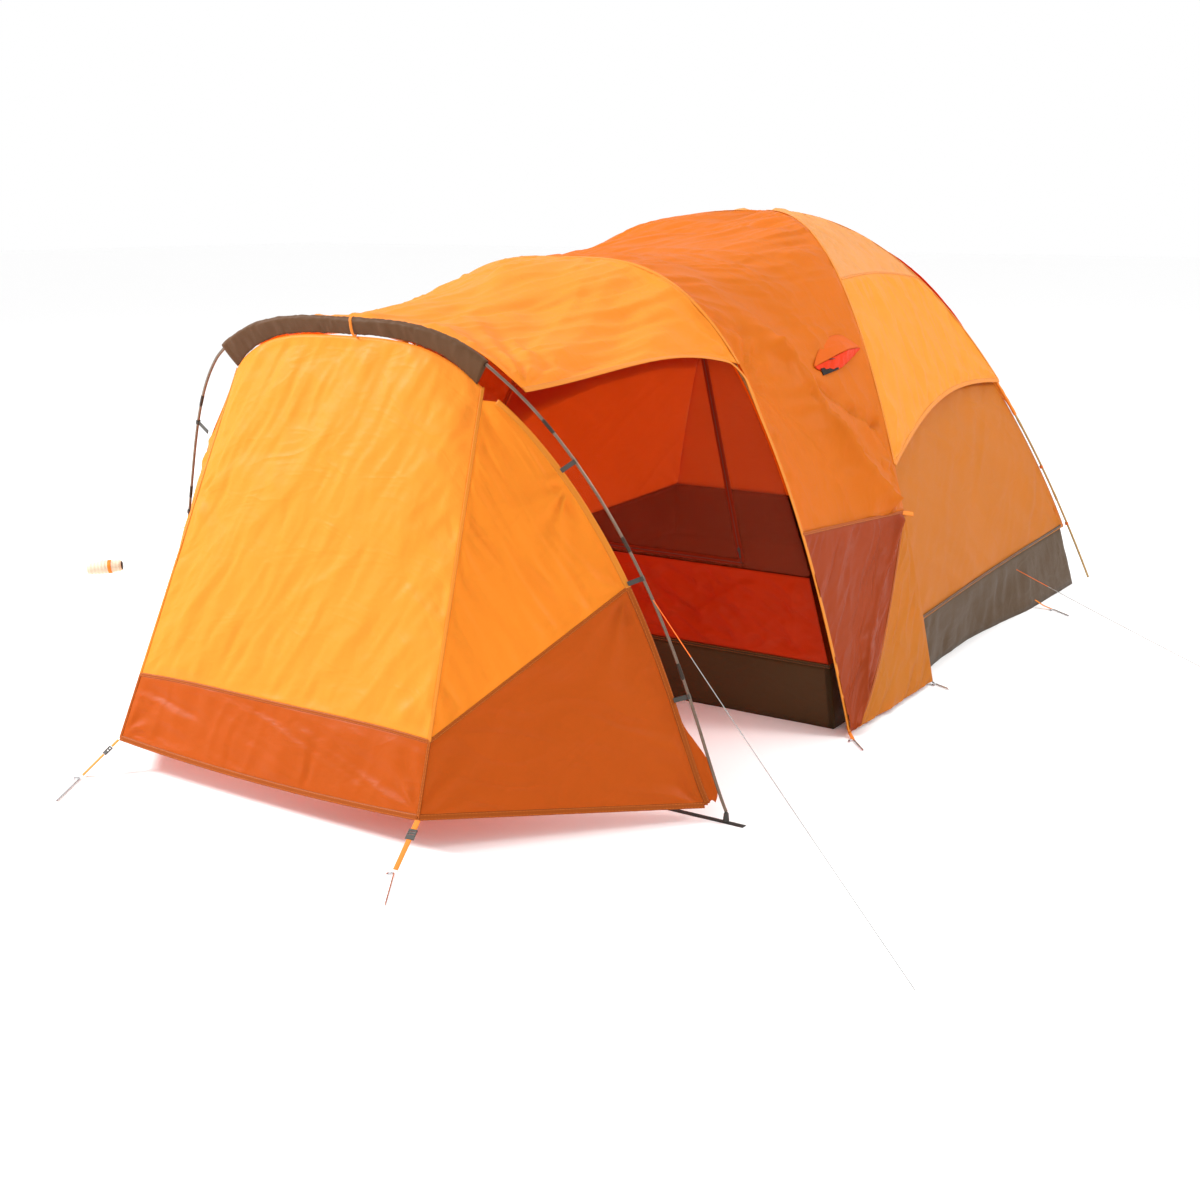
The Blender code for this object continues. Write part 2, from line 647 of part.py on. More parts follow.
def sleeve():
    count = 10
    ts = np.linspace(-SLEEVE_T, SLEEVE_T, 21)
    path = np.array([hoop(t) for t in ts])
    lean = unit(np.array([0, HOOP_LEAN, -HOOP_TOP]))
    points, faces = [], []
    for t, p, (tangent, _, _) in zip(ts, path, frames(path)):
        down = unit(lean - tangent * np.dot(lean, tangent))
        side = np.cross(tangent, down)
        depth = sleeve_depth(t)
        for k in range(count):
            a = 2 * math.pi * k / count
            c, s = math.cos(a), math.sin(a)
            reach = SLEEVE_R * 1.35 if c < 0 else depth
            narrow = 1.35 - 0.75 * max(c, 0)
            points.append(p + down * c * reach + side * s * SLEEVE_R * narrow)
        for k in range(count):
            a = 2 * math.pi * k / count
            points.append(p + (down * math.cos(a) + side * math.sin(a)) * (SLEEVE_R - 0.0012))
    n = 2 * count
    for r in range(len(ts) - 1):
        for k in range(count):
            j = (k + 1) % count
            a, b = r * n, (r + 1) * n
            faces.append((a + k, a + j, b + j, b + k))
            faces.append((a + count + j, a + count + k, b + count + k, b + count + j))
    for a, flip in ((0, True), ((len(ts) - 1) * n, False)):
        for k in range(count):
            j = (k + 1) % count
            face = (a + k, a + j, a + count + j, a + count + k)
            faces.append(tuple(reversed(face)) if flip else face)
    return add("hoop_sleeve", points, faces, "brown", smooth=4)


sleeve()

# ---- poles ----
def foot_t(curve):
    ts = np.linspace(0.9, 1.0, 2001)
    heights = np.array([curve(t)[2] for t in ts])
    return float(ts[np.argmin(np.abs(heights - TIP_Z))])


hoop_path = even(hoop, -foot_t(hoop), foot_t(hoop), 49)
sweep("hoop_pole", hoop_path, circle(POLE_R), "pole")
brow_path = even(brow, -foot_t(brow), foot_t(brow), 41)
sweep("brow_pole", brow_path, circle(POLE_R), "pole")


def dome_pole(sign, dip):
    def line(t):
        p = front_arm(t) if t * sign > 0 else rear_arm(t)
        p = p + np.array([0, 0, -dip * math.exp(-(t / 0.22) ** 2)])
        return p
    ends = (foot_t(front_arm) * sign, -foot_t(rear_arm) * sign)
    return even(line, ends[0], ends[1], 53)


sweep("dome_pole_a", dome_pole(1, 0.0), circle(POLE_R), "pole")
rear_leg = dome_pole(-1, 2 * POLE_R + 0.0009)
sweep("dome_pole_b", rear_leg, circle(POLE_R), "pole")


def on_line(path, point):
    """The nearest place on a pole's straight pieces, and that piece's direction."""
    best = None
    for a, b in zip(path, path[1:]):
        d = b - a
        s = min(max(np.dot(point - a, d) / np.dot(d, d), 0.15), 0.85)
        here = a + d * s
        away = np.linalg.norm(here - point)
        if best is None or away < best[0]:
            best = (away, here, unit(d))
    return best[1], best[2]


def peg_foot(name, x, y, base, top):
    path = [(x, y, base), (x, y, base + 0.006), (x, y, top - 0.004), (x, y, top)]
    wide = [1.0, 1.0, 0.8, 0.62]
    sweep(name, path, lambda s: circle(FOOT_R * wide[min(int(s * 3 + 0.5), 3)], 12), "plastic", up=(0, 1, 0))


STRAP_TOP = 0.0016
for label, sign in (("right", 1), ("left", -1)):
    tip = hoop(foot_t(hoop))
    peg_foot(f"hoop_foot_{label}", sign * tip[0], tip[1], STRAP_TOP + CLEAR, TIP_Z - 0.4 * POLE_R)
sweep("ground_strap", [(-HOOP_HALF - 0.045, HOOP_Y, STRAP_TOP / 2), (0, HOOP_Y, STRAP_TOP / 2),
                       (HOOP_HALF + 0.045, HOOP_Y, STRAP_TOP / 2)],
      flat(0.025, STRAP_TOP), "plastic", smooth=0)


# ---- clips: an open hook round the pole with a short tab to the fabric ----
def clip(name, centre, tangent, toward, reach):
    tangent = unit(tangent)
    toward = unit(toward - tangent * np.dot(toward, tangent))
    across = np.cross(tangent, toward)
    r0, r1 = POLE_R + CLEAR, POLE_R + CLEAR + CLIP_WALL
    steps = 10
    angles = np.linspace(math.radians(50), math.radians(310), steps)
    outline = []
    for a in angles:
        outline.append((-math.cos(a) * r1, math.sin(a) * r1))
    middle = steps // 2
    half = CLIP_TAB / 2
    start = math.sqrt(r1 * r1 - half * half)
    tab = [(start, half), (reach, half), (reach, -half), (start, -half)]
    outline = outline[:middle] + tab + outline[middle:]
    inner = [(-math.cos(a) * r0, math.sin(a) * r0) for a in reversed(angles)]
    loop = outline + inner
    points = []
    for end in (-0.5, 0.5):
        points += [centre + tangent * end * CLIP_WIDTH + toward * a + across * b for a, b in loop]
    count = len(loop)
    faces = [(i, (i + 1) % count, count + (i + 1) % count, count + i) for i in range(count)]
    faces.append(tuple(reversed(range(count))))
    faces.append(tuple(range(count, 2 * count)))
    return add(name, points, faces, "plastic", origin=tuple(centre))


def hoop_clip(label, sign, k, height):
    here, tangent = on_line(hoop_path, hoop(sign * hoop_share(height)))
    edges = [side_edge(s) * np.array([sign, 1, 1]) for s in np.linspace(0.5, 0.99, 200)]
    near = min(edges, key=lambda p: np.linalg.norm(p - here))
    reach = np.linalg.norm(near - here) - 0.006
    clip(f"hoop_clip_{label}_{k}", here, tangent, near - here, reach)


for label, sign in (("right", 1), ("left", -1)):
    for k, height in enumerate(CLIP_HEIGHTS, 1):
        hoop_clip(label, sign, k, height)

for k, height in enumerate(CORNER_CLIP_HEIGHTS, 1):
    here, tangent = on_line(rear_leg, at_height(rear_arm, height, 1, PEAK_Z, REAR_EXP))
    clip(f"corner_clip_{k}", here, tangent, np.array([-1.0, -0.75, 0.0]), 0.011)


# ---- front corner straps, ladder-lock buckles and pegs ----
def lock_plate(name, top, down, across, slot):
    """A flat buckle with two slots; its origin is at the middle of its upper bar."""
    out = unit(np.cross(across, down))
    rows = [0.0, 0.006, 0.006 + SLOT, 0.016, 0.016 + SLOT, LOCK_L]
    cols = [-LOCK_W / 2, -LOCK_W / 2 + 0.004, LOCK_W / 2 - 0.004, LOCK_W / 2]
    grid, points = {}, []
    for j, row in enumerate(rows):
        for i, col in enumerate(cols):
            grid[i, j] = len(points)
            base = top + down * row + across * col
            points += [base + out * LOCK_T / 2, base - out * LOCK_T / 2]
    kept = {(i, j) for i in range(3) for j in range(5)} - {(1, 1), (1, 3)}
    faces = []
    for i, j in sorted(kept):
        ring = [grid[i, j], grid[i + 1, j], grid[i + 1, j + 1], grid[i, j + 1]]
        faces += [tuple(ring), tuple(k + 1 for k in reversed(ring))]
        sides = {(i, j - 1): (ring[0], ring[1]), (i + 1, j): (ring[1], ring[2]),
                 (i, j + 1): (ring[2], ring[3]), (i - 1, j): (ring[3], ring[0])}
        for other, (a, b) in sides.items():
            if other not in kept:
                faces.append((b, a, a + 1, b + 1))
    return add(name, points, faces, slot, origin=tuple(top))


def peg(name, head, toward, length):
    """A round wire peg lying on the ground, with a hook at its head."""
    toward = unit(np.array([toward[0], toward[1], 0.0]))
    side = np.array([-toward[1], toward[0], 0.0])
    z = PEG_R + 0.0004
    head = np.array([head[0], head[1], z])
    hook = 0.011
    path = []
    for a in np.linspace(math.radians(-130), math.radians(90), 9):
        path.append(head + toward * (hook - math.sin(a + math.pi / 2) * 0 - hook * math.cos(a)) - side * hook
                    + side * hook * math.sin(a))
    path += [head + toward * (hook + length * s) for s in (0.10, 0.5, 0.93)]
    path.append(head + toward * (hook + length))
    n = len(path)
    taper = [1.0] * (n - 1) + [0.35]
    sweep(name, path, lambda s: circle(PEG_R * taper[min(int(round(s * (n - 1))), n - 1)], 8), "steel",
          origin=tuple(head), up=(0, 0, 1))
    return head


PEG_FAR = {"right": (0.882, -3.723), "left": (-0.602, -3.733)}
STRAP_GROUND = {"right": (0.729, -3.499), "left": (-0.754, -3.482)}
for label, sign in (("right", 1), ("left", -1)):
    corner = hem(sign) + np.array([sign * 0.004, -0.006, -0.006])
    ground = np.array([*STRAP_GROUND[label], 0.004])
    down = unit(ground - corner)
    across = unit(np.cross(down, (0, 0, 1)))
    lock_top = corner + down * 0.035
    sweep(f"corner_tab_{label}", [corner, corner + down * 0.016, lock_top - down * LOCK_ROOM],
          flat(STRAP_W, STRAP_T), "webbing", smooth=0)
    lock_plate(f"ladder_lock_{label}", lock_top, down, across, "plastic")
    start = lock_top + down * (LOCK_L + 0.0006)
    stop = ground - down * 0.004
    sweep(f"corner_strap_{label}", [start, mix(start, stop, 0.5), stop],
          flat(STRAP_W * 0.9, STRAP_T), "webbing", smooth=0)
    head = np.array([ground[0], ground[1], 0.0])
    aim = np.array([*PEG_FAR[label], 0.0]) - head
    peg(f"front_peg_{label}", head + unit(aim) * 0.012, aim, FRONT_PEG)

peg("corner_peg_right", (1.375, -1.585), (0.070, -0.078), 0.110)
peg("floor_peg_front_right", (1.352, -0.716), (0.058, -0.031), SIDE_PEG * 0.6)
peg("floor_peg_side_right", (1.351, 0.835), (0.083, -0.066), SIDE_PEG)


# ---- vents ----
def vent_frame():
    u0, u1 = VENT_CELLS[0] / FRONT_CELLS, VENT_CELLS[1] / FRONT_CELLS
    v0, v1 = VENT_CELLS[2] / 10, VENT_CELLS[3] / 10
    p00, p10 = dome_front(u0, v0), dome_front(u1, v0)
    p01, p11 = dome_front(u0, v1), dome_front(u1, v1)
    normal = unit(np.cross(p10 - p00, p01 - p00))
    if normal[2] < 0:
        normal = -normal
    return p00, p10, p01, p11, normal


p00, p10, p01, p11, vent_n = vent_frame()
vent_down = unit(mix(p10, p11, 0.5) - mix(p00, p01, 0.5))
vent_along = unit(p01 - p00)
vent_n = unit(np.cross(vent_down, vent_along))
vent_n = vent_n if vent_n[2] > 0 else -vent_n
lift = vent_n * (FLY_OFFSET + 0.008)
hinge_a, hinge_b = p00 + lift, p01 + lift
hinge_mid = mix(hinge_a, hinge_b, 0.5)
vent_depth = np.linalg.norm(mix(p10, p11, 0.5) - mix(p00, p01, 0.5))


def vent_place(down, rise):
    """A place on the hood's middle line, down the fly and out from it."""
    return hinge_mid + vent_down * down + vent_n * rise


def hood(u, v):
    edge = mix(hinge_a, hinge_b, u)
    reach = vent_depth * (1 + VENT_REACH)
    rise = VENT_RISE * v + VENT_CROWN * math.sin(math.pi * u) * v
    return edge + vent_down * reach * v + vent_n * rise


panel("vent_hood", hood, 6, 4, "red", CENTRE, 0.0, trim=(0, 0, 0, 0), origin=tuple(hinge_a))
strut_low = vent_place(vent_depth * (1 + STRUT_FOOT), 0.0)
strut_lean = math.radians(STRUT_LEAN)
strut_dir = vent_down * math.sin(strut_lean) + vent_n * math.cos(strut_lean)
strut_high = strut_low + strut_dir * STRUT_LENGTH
sweep("vent_strut", [strut_low, mix(strut_low, strut_high, 0.5), strut_high], flat(0.016, 0.002), "plastic",
      origin=tuple(strut_low), up=tuple(np.cross(strut_dir, vent_along)), smooth=0)


def rear_vent(u, v):
    t = 0.34 + (REAR_FLY_T - 0.05 - 0.34) * v
    p = rear_arm(t)
    span = p[0]
    x = span - 0.30 + 0.30 * u
    return np.array([x, p[1] + 0.018 + 0.045 * u * math.sin(math.pi * min(v + 0.1, 1.0)), p[2] + 0.006])


panel("rear_vent_flap", rear_vent, 5, 8, "red", CENTRE, 0.0, trim=(0, 0, 0, 0), origin=tuple(rear_vent(0, 0)))


# ---- guy lines ----
def cord(name, start, end, count, slot="cord"):
    curve = bpy.data.curves.new(name, "CURVE")
    curve.dimensions = "3D"
    curve.bevel_depth = CORD_R
    curve.bevel_resolution = 2
    curve.use_fill_caps = True
    spline = curve.splines.new("POLY")
    spline.points.add(count - 1)
    for k in range(count):
        p = mix(start, end, k / (count - 1))
        spline.points[k].co = (*p, 1.0)
    curve.materials.append(material(slot, name))
    obj = bpy.data.objects.new(name, curve)
    bpy.context.scene.collection.objects.link(obj)
    return obj


GUY_Z = 0.735
guy_t = hoop_share(GUY_Z)
for label, sign, end in (("right", 1, (2.358, -3.329, CORD_R + 0.0004)),
                         ("left", -1, (-3.258, -2.062, CORD_R + 0.0004))):
    start = hoop(sign * guy_t)
    aim = unit(np.array(end) - start)
    cord(f"guy_line_front_{label}", start + aim * (POLE_R + 0.006), end, 48)
POUCH_AT = 0.36          # share along the left line where the pouch hangs
POUCH_LENGTH = 0.150
POUCH_R = 0.030
line_a = hoop(-guy_t)
line_b = np.array([-3.258, -2.062, CORD_R + 0.0004])
line_dir = unit(line_b - line_a)
pouch_top = mix(line_a, line_b, POUCH_AT) - np.array([0, 0, POUCH_R + 0.012])
across_view = unit(np.array([0.80, 0.60, 0.0]))
pouch_path = [pouch_top + across_view * POUCH_LENGTH * k + np.array([0, 0, 0.10 * POUCH_LENGTH * k])
              for k in (-0.5, -0.42, -0.1, 0.1, 0.42, 0.5)]
pouch_wide = [0.72, 0.96, 1.0, 0.94, 0.90, 0.66]
sweep("guy_line_pouch", pouch_path,
      lambda s: circle(POUCH_R * pouch_wide[min(int(round(s * 5)), 5)], 12), "cream")
side_start = np.array([FOOT_HALF - 0.068, 0.500, 0.262])  # on the floor wall's top edge
cord("guy_line_side_right", side_start, (2.283, 0.129, CORD_R + 0.0004), 40)
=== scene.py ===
"""Looks of a family dome tent with a hoop-pole vestibule. Metres, +Z up, +Y to the rear."""
import math

import bpy
import numpy as np
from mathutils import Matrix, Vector


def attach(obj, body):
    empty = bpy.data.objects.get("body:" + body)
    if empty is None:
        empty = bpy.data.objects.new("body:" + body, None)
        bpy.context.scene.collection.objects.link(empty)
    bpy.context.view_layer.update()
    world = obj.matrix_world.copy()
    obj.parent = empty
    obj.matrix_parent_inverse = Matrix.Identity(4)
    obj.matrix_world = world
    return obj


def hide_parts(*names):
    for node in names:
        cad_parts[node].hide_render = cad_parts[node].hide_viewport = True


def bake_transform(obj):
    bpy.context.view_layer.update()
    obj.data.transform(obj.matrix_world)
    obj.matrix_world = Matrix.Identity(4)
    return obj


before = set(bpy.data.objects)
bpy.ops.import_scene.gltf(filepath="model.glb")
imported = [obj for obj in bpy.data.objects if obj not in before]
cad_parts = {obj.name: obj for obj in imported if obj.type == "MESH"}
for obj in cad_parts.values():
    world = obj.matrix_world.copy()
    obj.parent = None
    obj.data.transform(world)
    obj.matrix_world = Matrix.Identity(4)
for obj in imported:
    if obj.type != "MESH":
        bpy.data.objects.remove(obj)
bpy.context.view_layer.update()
scene = bpy.context.scene
scene.view_settings.view_transform = "Standard"

# ---- the tent's own sizes ----
# In a name, T is a share of a pole's half span (0 at its top, 1 at its foot) and EXP the power of its curve.
SIDES = (("right", 1), ("left", -1))
# poles over the cabin, and the hoop over the vestibule
FOOT_HALF, MID_FOOT_Y, REAR_FOOT_Y, BROW_Y = 1.330, -0.731, 1.525, -1.525
APEX_Y, PEAK_Z, FRONT_EXP, REAR_EXP, FRONT_BOW = 0.170, 1.950, 2.8, 2.1, 0.100
BROW_TOP, BROW_EXP = 1.770, 3.0
HOOP_HALF, HOOP_TOP, HOOP_Y, HOOP_LEAN = 1.400, 1.605, -2.580, 0.268
HOOP_EXP, HOOP_LEG_EXP, HOOP_BOW, HOOP_BOW_TOP = 3.4, 1.35, 0.090, 1.450
POLE_R, TIP_Z, POLE_SECTION, FERRULE_HALF = 0.0055, 0.036, 0.46, 0.028
# fly over the cabin
FLY_OFFSET, DOME_SAG, WRAP = 0.0145, 0.075, 0.030
COLUMN_T_FRONT, COLUMN_T_REAR, COLUMN_FOOT_T, FLAP_FOOT_T, COLUMN_TAPER = 0.828, 0.850, 0.9975, 0.9980, 1.6
FLAP_REACH, FLY_TOP_T, REAR_FLY_T = 1.014, 0.035, 0.660
ARCH_T, ARCH_LIFT, SIDE_HOLLOW, REAR_HOLLOW = (0.800, 0.700, 0.672), 0.012, 0.018, 0.015
PALE_SHARE = 0.615       # the paler top cloth of the side fly ends this far down it
VENT_HOLE = (0.869, 0.882, 0.66, 0.80)
# cabin walls, floor and netting
INSET_LOW, INSET_HIGH, INSET_FADE = 0.068, 0.014, 0.180
SIDE_WALL_TOP, REAR_WALL_TOP, WALL_HOLLOW, REAR_WALL_GAP = 1.22, 1.24, 0.02, 0.01
FLOOR_HALF, FLOOR_FRONT, FLOOR_REAR, TUB_FRONT, TUB_REAR = 1.250, -1.500, 1.475, 0.250, 0.330
TUB_LAP = 0.012          # the walls end this far below the floor wall's top edge
WALL_Y, LOW_PANEL_TOP = BROW_Y + 0.022, 0.590
DOOR_LOW, DOOR_HIGH, DOOR_TOP, DOOR_GAP = 0.830, 0.640, 1.420, 0.006
# vestibule
HEM_HALF, HEM_Y, HEM_Z, HEM_SAG, FRONT_TOP_HALF = 0.697, -3.346, 0.120, 0.022, 0.565
FRONT_BULGE, FRONT_GAP, GROUND_GAP = 0.020, 0.005, 0.012
BAND_Z, SIDE_BAND_T, SIDE_TOP_SHARE = 0.340, 0.770, 0.030
EDGE_SCALE, EDGE_T0, EDGE_T1, EDGE_RISE, EDGE_AHEAD = 0.945, 0.470, 0.994, 0.045, 0.015
LEFT_EDGE_DRAW, LEFT_DRAW_Z, LEFT_DRAW_REACH = 0.050, 1.30, 0.17
LEFT_DOOR_TOP, LEFT_DOOR_FALL, LEFT_DOOR_FOOT = 1.440, 0.058, 0.030
ROOF_HOOP_T, ROOF_HOOP_LEFT_T, ROOF_BROW_T = 0.500, 0.435, 0.600
ROOF_EDGE_LIFT, ROOF_DIP, ROOF_CROWN_EXP, ROOF_RIDGE, ROOF_DROP = 0.050, 0.020, 3.2, 2.0, 0.006
SLEEVE_R, SLEEVE_T, SLEEVE_DEPTH_MID, SLEEVE_DEPTH_END = 0.0108, 0.425, 0.045, 0.085
SKIRT_T0, SKIRT_T1, SKIRT_REACH = 0.905, 0.992, 0.070
# lines and cloth
CORD_R, GUY_Z = 0.0014, 0.735
CORD_REST_Z = CORD_R + 0.0004   # a line's centre where it lies on the ground
CLOTH = 0.0009                  # thickness of the cloth
FOLD = 2.2                      # how deep every fold is, against the depths given with each panel
FOLD_FADE = 0.045               # folds die out this close to a sewn edge
# a point inside each room tells which way its cloth faces
CABIN_INSIDE = np.array([0.0, 0.2, 0.6])
VESTIBULE_INSIDE = np.array([0.0, -2.4, 0.5])

# ---- camera ----
camera_data = bpy.data.cameras.new("camera")
camera_data.lens, camera_data.sensor_width, camera_data.clip_end = 47.71, 36.0, 200.0
camera = bpy.data.objects.new("camera", camera_data)
camera.location = (3.7686, -6.9244, 1.9835)
camera.rotation_euler = (math.radians(90 - 13.911), 0.0, math.radians(33.684))
scene.collection.objects.link(camera)
scene.camera = camera


# ---- points and curves ----
def point(x, y, z):
    return np.stack(np.broadcast_arrays(x, y, z), -1).astype(float)


def mix(a, b, s):
    s = np.asarray(s, float)[..., None]
    return np.asarray(a, float) * (1 - s) + np.asarray(b, float) * s


def unit(v):
    v = np.asarray(v, float)
    return v / np.maximum(np.linalg.norm(v, axis=-1, keepdims=True), 1e-9)


def smooth(x):
    x = np.clip(x, 0, 1)
    return x * x * (3 - 2 * x)


def hoop_plane(x, z):
    """A point in the leaning, slightly bowed plane of the hoop."""
    bow = HOOP_BOW * np.sin(np.pi * np.clip(np.asarray(z) / HOOP_BOW_TOP, 0, 1))
    return point(x, HOOP_Y - HOOP_LEAN * np.asarray(z) / HOOP_TOP + bow, z)


def hoop(t, scale=1.0, drop=0.0):
    t = np.asarray(t, float)
    height = np.maximum(1 - np.abs(t) ** HOOP_EXP, 0) ** HOOP_LEG_EXP
    return hoop_plane(HOOP_HALF * scale * t, scale * HOOP_TOP * height - drop)


def hoop_share(z):
    """How far along the hoop's half span a height lies."""
    return (1 - (z / HOOP_TOP) ** (1 / HOOP_LEG_EXP)) ** (1 / HOOP_EXP)


def brow(t):
    t = np.asarray(t, float)
    return point(FOOT_HALF * t, BROW_Y, BROW_TOP * (1 - np.abs(t) ** BROW_EXP))


def front_arm(t):
    t = np.asarray(t, float)
    s = np.abs(t)
    y = MID_FOOT_Y + (APEX_Y - MID_FOOT_Y) * (1 - s) - FRONT_BOW * 4 * s * (1 - s)
    return point(FOOT_HALF * t, y, PEAK_Z * (1 - s ** FRONT_EXP))


def rear_arm(t):
    t = np.asarray(t, float)
    s = np.abs(t)
    return point(FOOT_HALF * t, REAR_FOOT_Y + (APEX_Y - REAR_FOOT_Y) * (1 - s), PEAK_Z * (1 - s ** REAR_EXP))


def at_height(curve, z, sign, top, power):
    """The place on a pole where it passes a height."""
    return curve(sign * np.maximum(1 - np.asarray(z) / top, 0) ** (1 / power))


def inset(z):
    """How far a cabin wall hangs inside its poles."""
    return INSET_HIGH + INSET_LOW * np.exp(-np.asarray(z) / INSET_FADE)


def distances(path):
    """How far along a path each of its points is."""
    return np.concatenate([[0], np.cumsum(np.linalg.norm(np.diff(path, axis=0), axis=1))])


def at_distances(path, run, want):
    return np.stack([np.interp(want, run, path[:, k]) for k in range(3)], -1)


def resample(points, count, closed=False):
    points = np.asarray(points, float)
    if closed:
        points = np.concatenate([points, points[:1]])
    run = distances(points)
    want = np.linspace(0, run[-1], count + 1)[:-1] if closed else np.linspace(0, run[-1], count)
    return at_distances(points, run, want)


def even(curve, t0, t1, count):
    """Evenly spaced points along a stretch of a pole's curve."""
    return resample(curve(np.linspace(t0, t1, 800)), count)


# ---- surfaces, each over u and v from 0 to 1 ----
def dome_front(u, v):
    t = (2 * u - 1) * (COLUMN_T_FRONT + (COLUMN_T_REAR - COLUMN_T_FRONT) * v)
    ahead = WRAP * smooth((np.abs(t) - ROOF_BROW_T) / 0.10)
    p = mix(brow(t), front_arm(t), v - ahead * (1 - v))
    p[..., 2] -= DOME_SAG * np.sin(np.pi * v) * np.maximum(1 - v, 0) ** 0.6 * (1 - t * t)
    return p


def leg_surface(sign, t, v):
    return mix(brow(sign * t), front_arm(sign * t), v)


def dome_side(sign):
    def surface(u, v):
        low = ARCH_T[0] * (1 - u) ** 2 + ARCH_T[1] * 2 * u * (1 - u) + ARCH_T[2] * u * u
        t = FLY_TOP_T + (low - ARCH_LIFT * np.sin(np.pi * u) - FLY_TOP_T) * v
        p = mix(front_arm(sign * t), rear_arm(sign * t), u)
        p[..., 0] -= sign * SIDE_HOLLOW * np.sin(np.pi * u) * v
        return p
    return surface


def part_of(surface, top, bottom):
    """The stretch of a surface from one share of its height to another."""
    return lambda u, v: surface(u, top + (bottom - top) * v)


def dome_rear(u, v):
    p = rear_arm(FLY_TOP_T + (REAR_FLY_T - FLY_TOP_T) * v)
    return point(np.abs(p[..., 0]) * (2 * u - 1), p[..., 1] - REAR_HOLLOW * np.sin(np.pi * u) * v, p[..., 2])


def column(sign):
    def surface(u, v):
        top = COLUMN_T_FRONT + (COLUMN_T_REAR - COLUMN_T_FRONT) * u
        t = COLUMN_FOOT_T - (COLUMN_FOOT_T - top) * (1 - v) ** COLUMN_TAPER
        return leg_surface(sign, t, u * (1 - v) - WRAP * (1 - u))
    return surface


def flap(sign):
    def surface(u, v):
        t = FLAP_FOOT_T - (FLAP_FOOT_T - COLUMN_T_REAR) * (1 - v) ** COLUMN_TAPER
        low = np.maximum(0.02, 1 - v)
        p = leg_surface(sign, t, low + (FLAP_REACH - low) * u)
        p[..., 2] = np.maximum(p[..., 2], GROUND_GAP / 2)
        return p
    return surface


def side_wall(sign):
    def surface(u, v):
        low = TUB_FRONT + (TUB_REAR - TUB_FRONT) * u - TUB_LAP
        z = SIDE_WALL_TOP + (low - SIDE_WALL_TOP) * v
        a = at_height(front_arm, z, sign, PEAK_Z, FRONT_EXP)
        b = at_height(rear_arm, z, sign, PEAK_Z, REAR_EXP)
        p = mix(a, b, u)
        p[..., 0] -= sign * (inset(z) + WALL_HOLLOW * np.sin(np.pi * u))
        return p
    return surface


def rear_wall(u, v):
    z = REAR_WALL_TOP + (TUB_REAR - TUB_LAP - REAR_WALL_TOP) * v
    p = at_height(rear_arm, z, 1, PEAK_Z, REAR_EXP)
    return point((p[..., 0] - inset(z) - 0.0015) * (2 * u - 1), p[..., 1] - inset(z) - REAR_WALL_GAP, z)


def sleeve_depth(t):
    """How far the pole sleeve hangs below the hoop."""
    return SLEEVE_DEPTH_MID + (SLEEVE_DEPTH_END - SLEEVE_DEPTH_MID) * (np.abs(t) / SLEEVE_T) ** 3


def front_top(x):
    """The front panel's top edge, just under the sleeve."""
    t = np.asarray(x, float) / HOOP_HALF
    drop = sleeve_depth(np.minimum(np.abs(t), SLEEVE_T)) + FRONT_GAP
    step = 0.002
    slope = (hoop(t + step)[..., 2] - hoop(t - step)[..., 2]) / (2 * step * HOOP_HALF)
    return hoop_plane(x, hoop(t)[..., 2] - drop * np.sqrt(1 + slope * slope))


def hem(s):
    """The front panel's lower edge, with s from -1 to 1 across it."""
    s = np.asarray(s, float)
    return point(HEM_HALF * s, HEM_Y, HEM_Z - HEM_SAG * (1 - s * s))


SEAM_TOP = front_top(FRONT_TOP_HALF)
BAND_SHARE = float((SEAM_TOP[2] - BAND_Z) / (SEAM_TOP[2] - HEM_Z))


def front_face(v0, v1):
    def surface(u, v):
        s, w = 2 * u - 1, v0 + (v1 - v0) * v
        p = mix(front_top(FRONT_TOP_HALF * s), hem(s), w)
        p[..., 1] += FRONT_BULGE * np.sin(np.pi * w) * (1 - s * s)
        return p
    return surface


def side_edge(t):
    """The side panel's free edge, a little inside the hoop's leg."""
    p = hoop(t, EDGE_SCALE, -EDGE_RISE * np.abs(t) ** 3)
    p[..., 1] -= EDGE_AHEAD
    return p


def side_face(sign, band):
    def surface(u, v):
        share_edge = (SIDE_BAND_T - EDGE_T0) / (EDGE_T1 - EDGE_T0)
        if band:
            a, b = BAND_SHARE + (1 - BAND_SHARE) * v, share_edge + (1 - share_edge) * v
        else:
            a, b = SIDE_TOP_SHARE + (BAND_SHARE - SIDE_TOP_SHARE) * v, share_edge * v
        p = mix(mix(SEAM_TOP, hem(1.0), a), side_edge(EDGE_T0 + (EDGE_T1 - EDGE_T0) * b), u)
        p[..., 2] = np.maximum(p[..., 2], GROUND_GAP)
        if sign < 0:
            near = ((p[..., 2] - LEFT_DRAW_Z) / LEFT_DRAW_REACH) ** 2
            p[..., 0] -= LEFT_EDGE_DRAW * u * np.exp(-near)
        p[..., 0] *= sign
        return p
    return surface


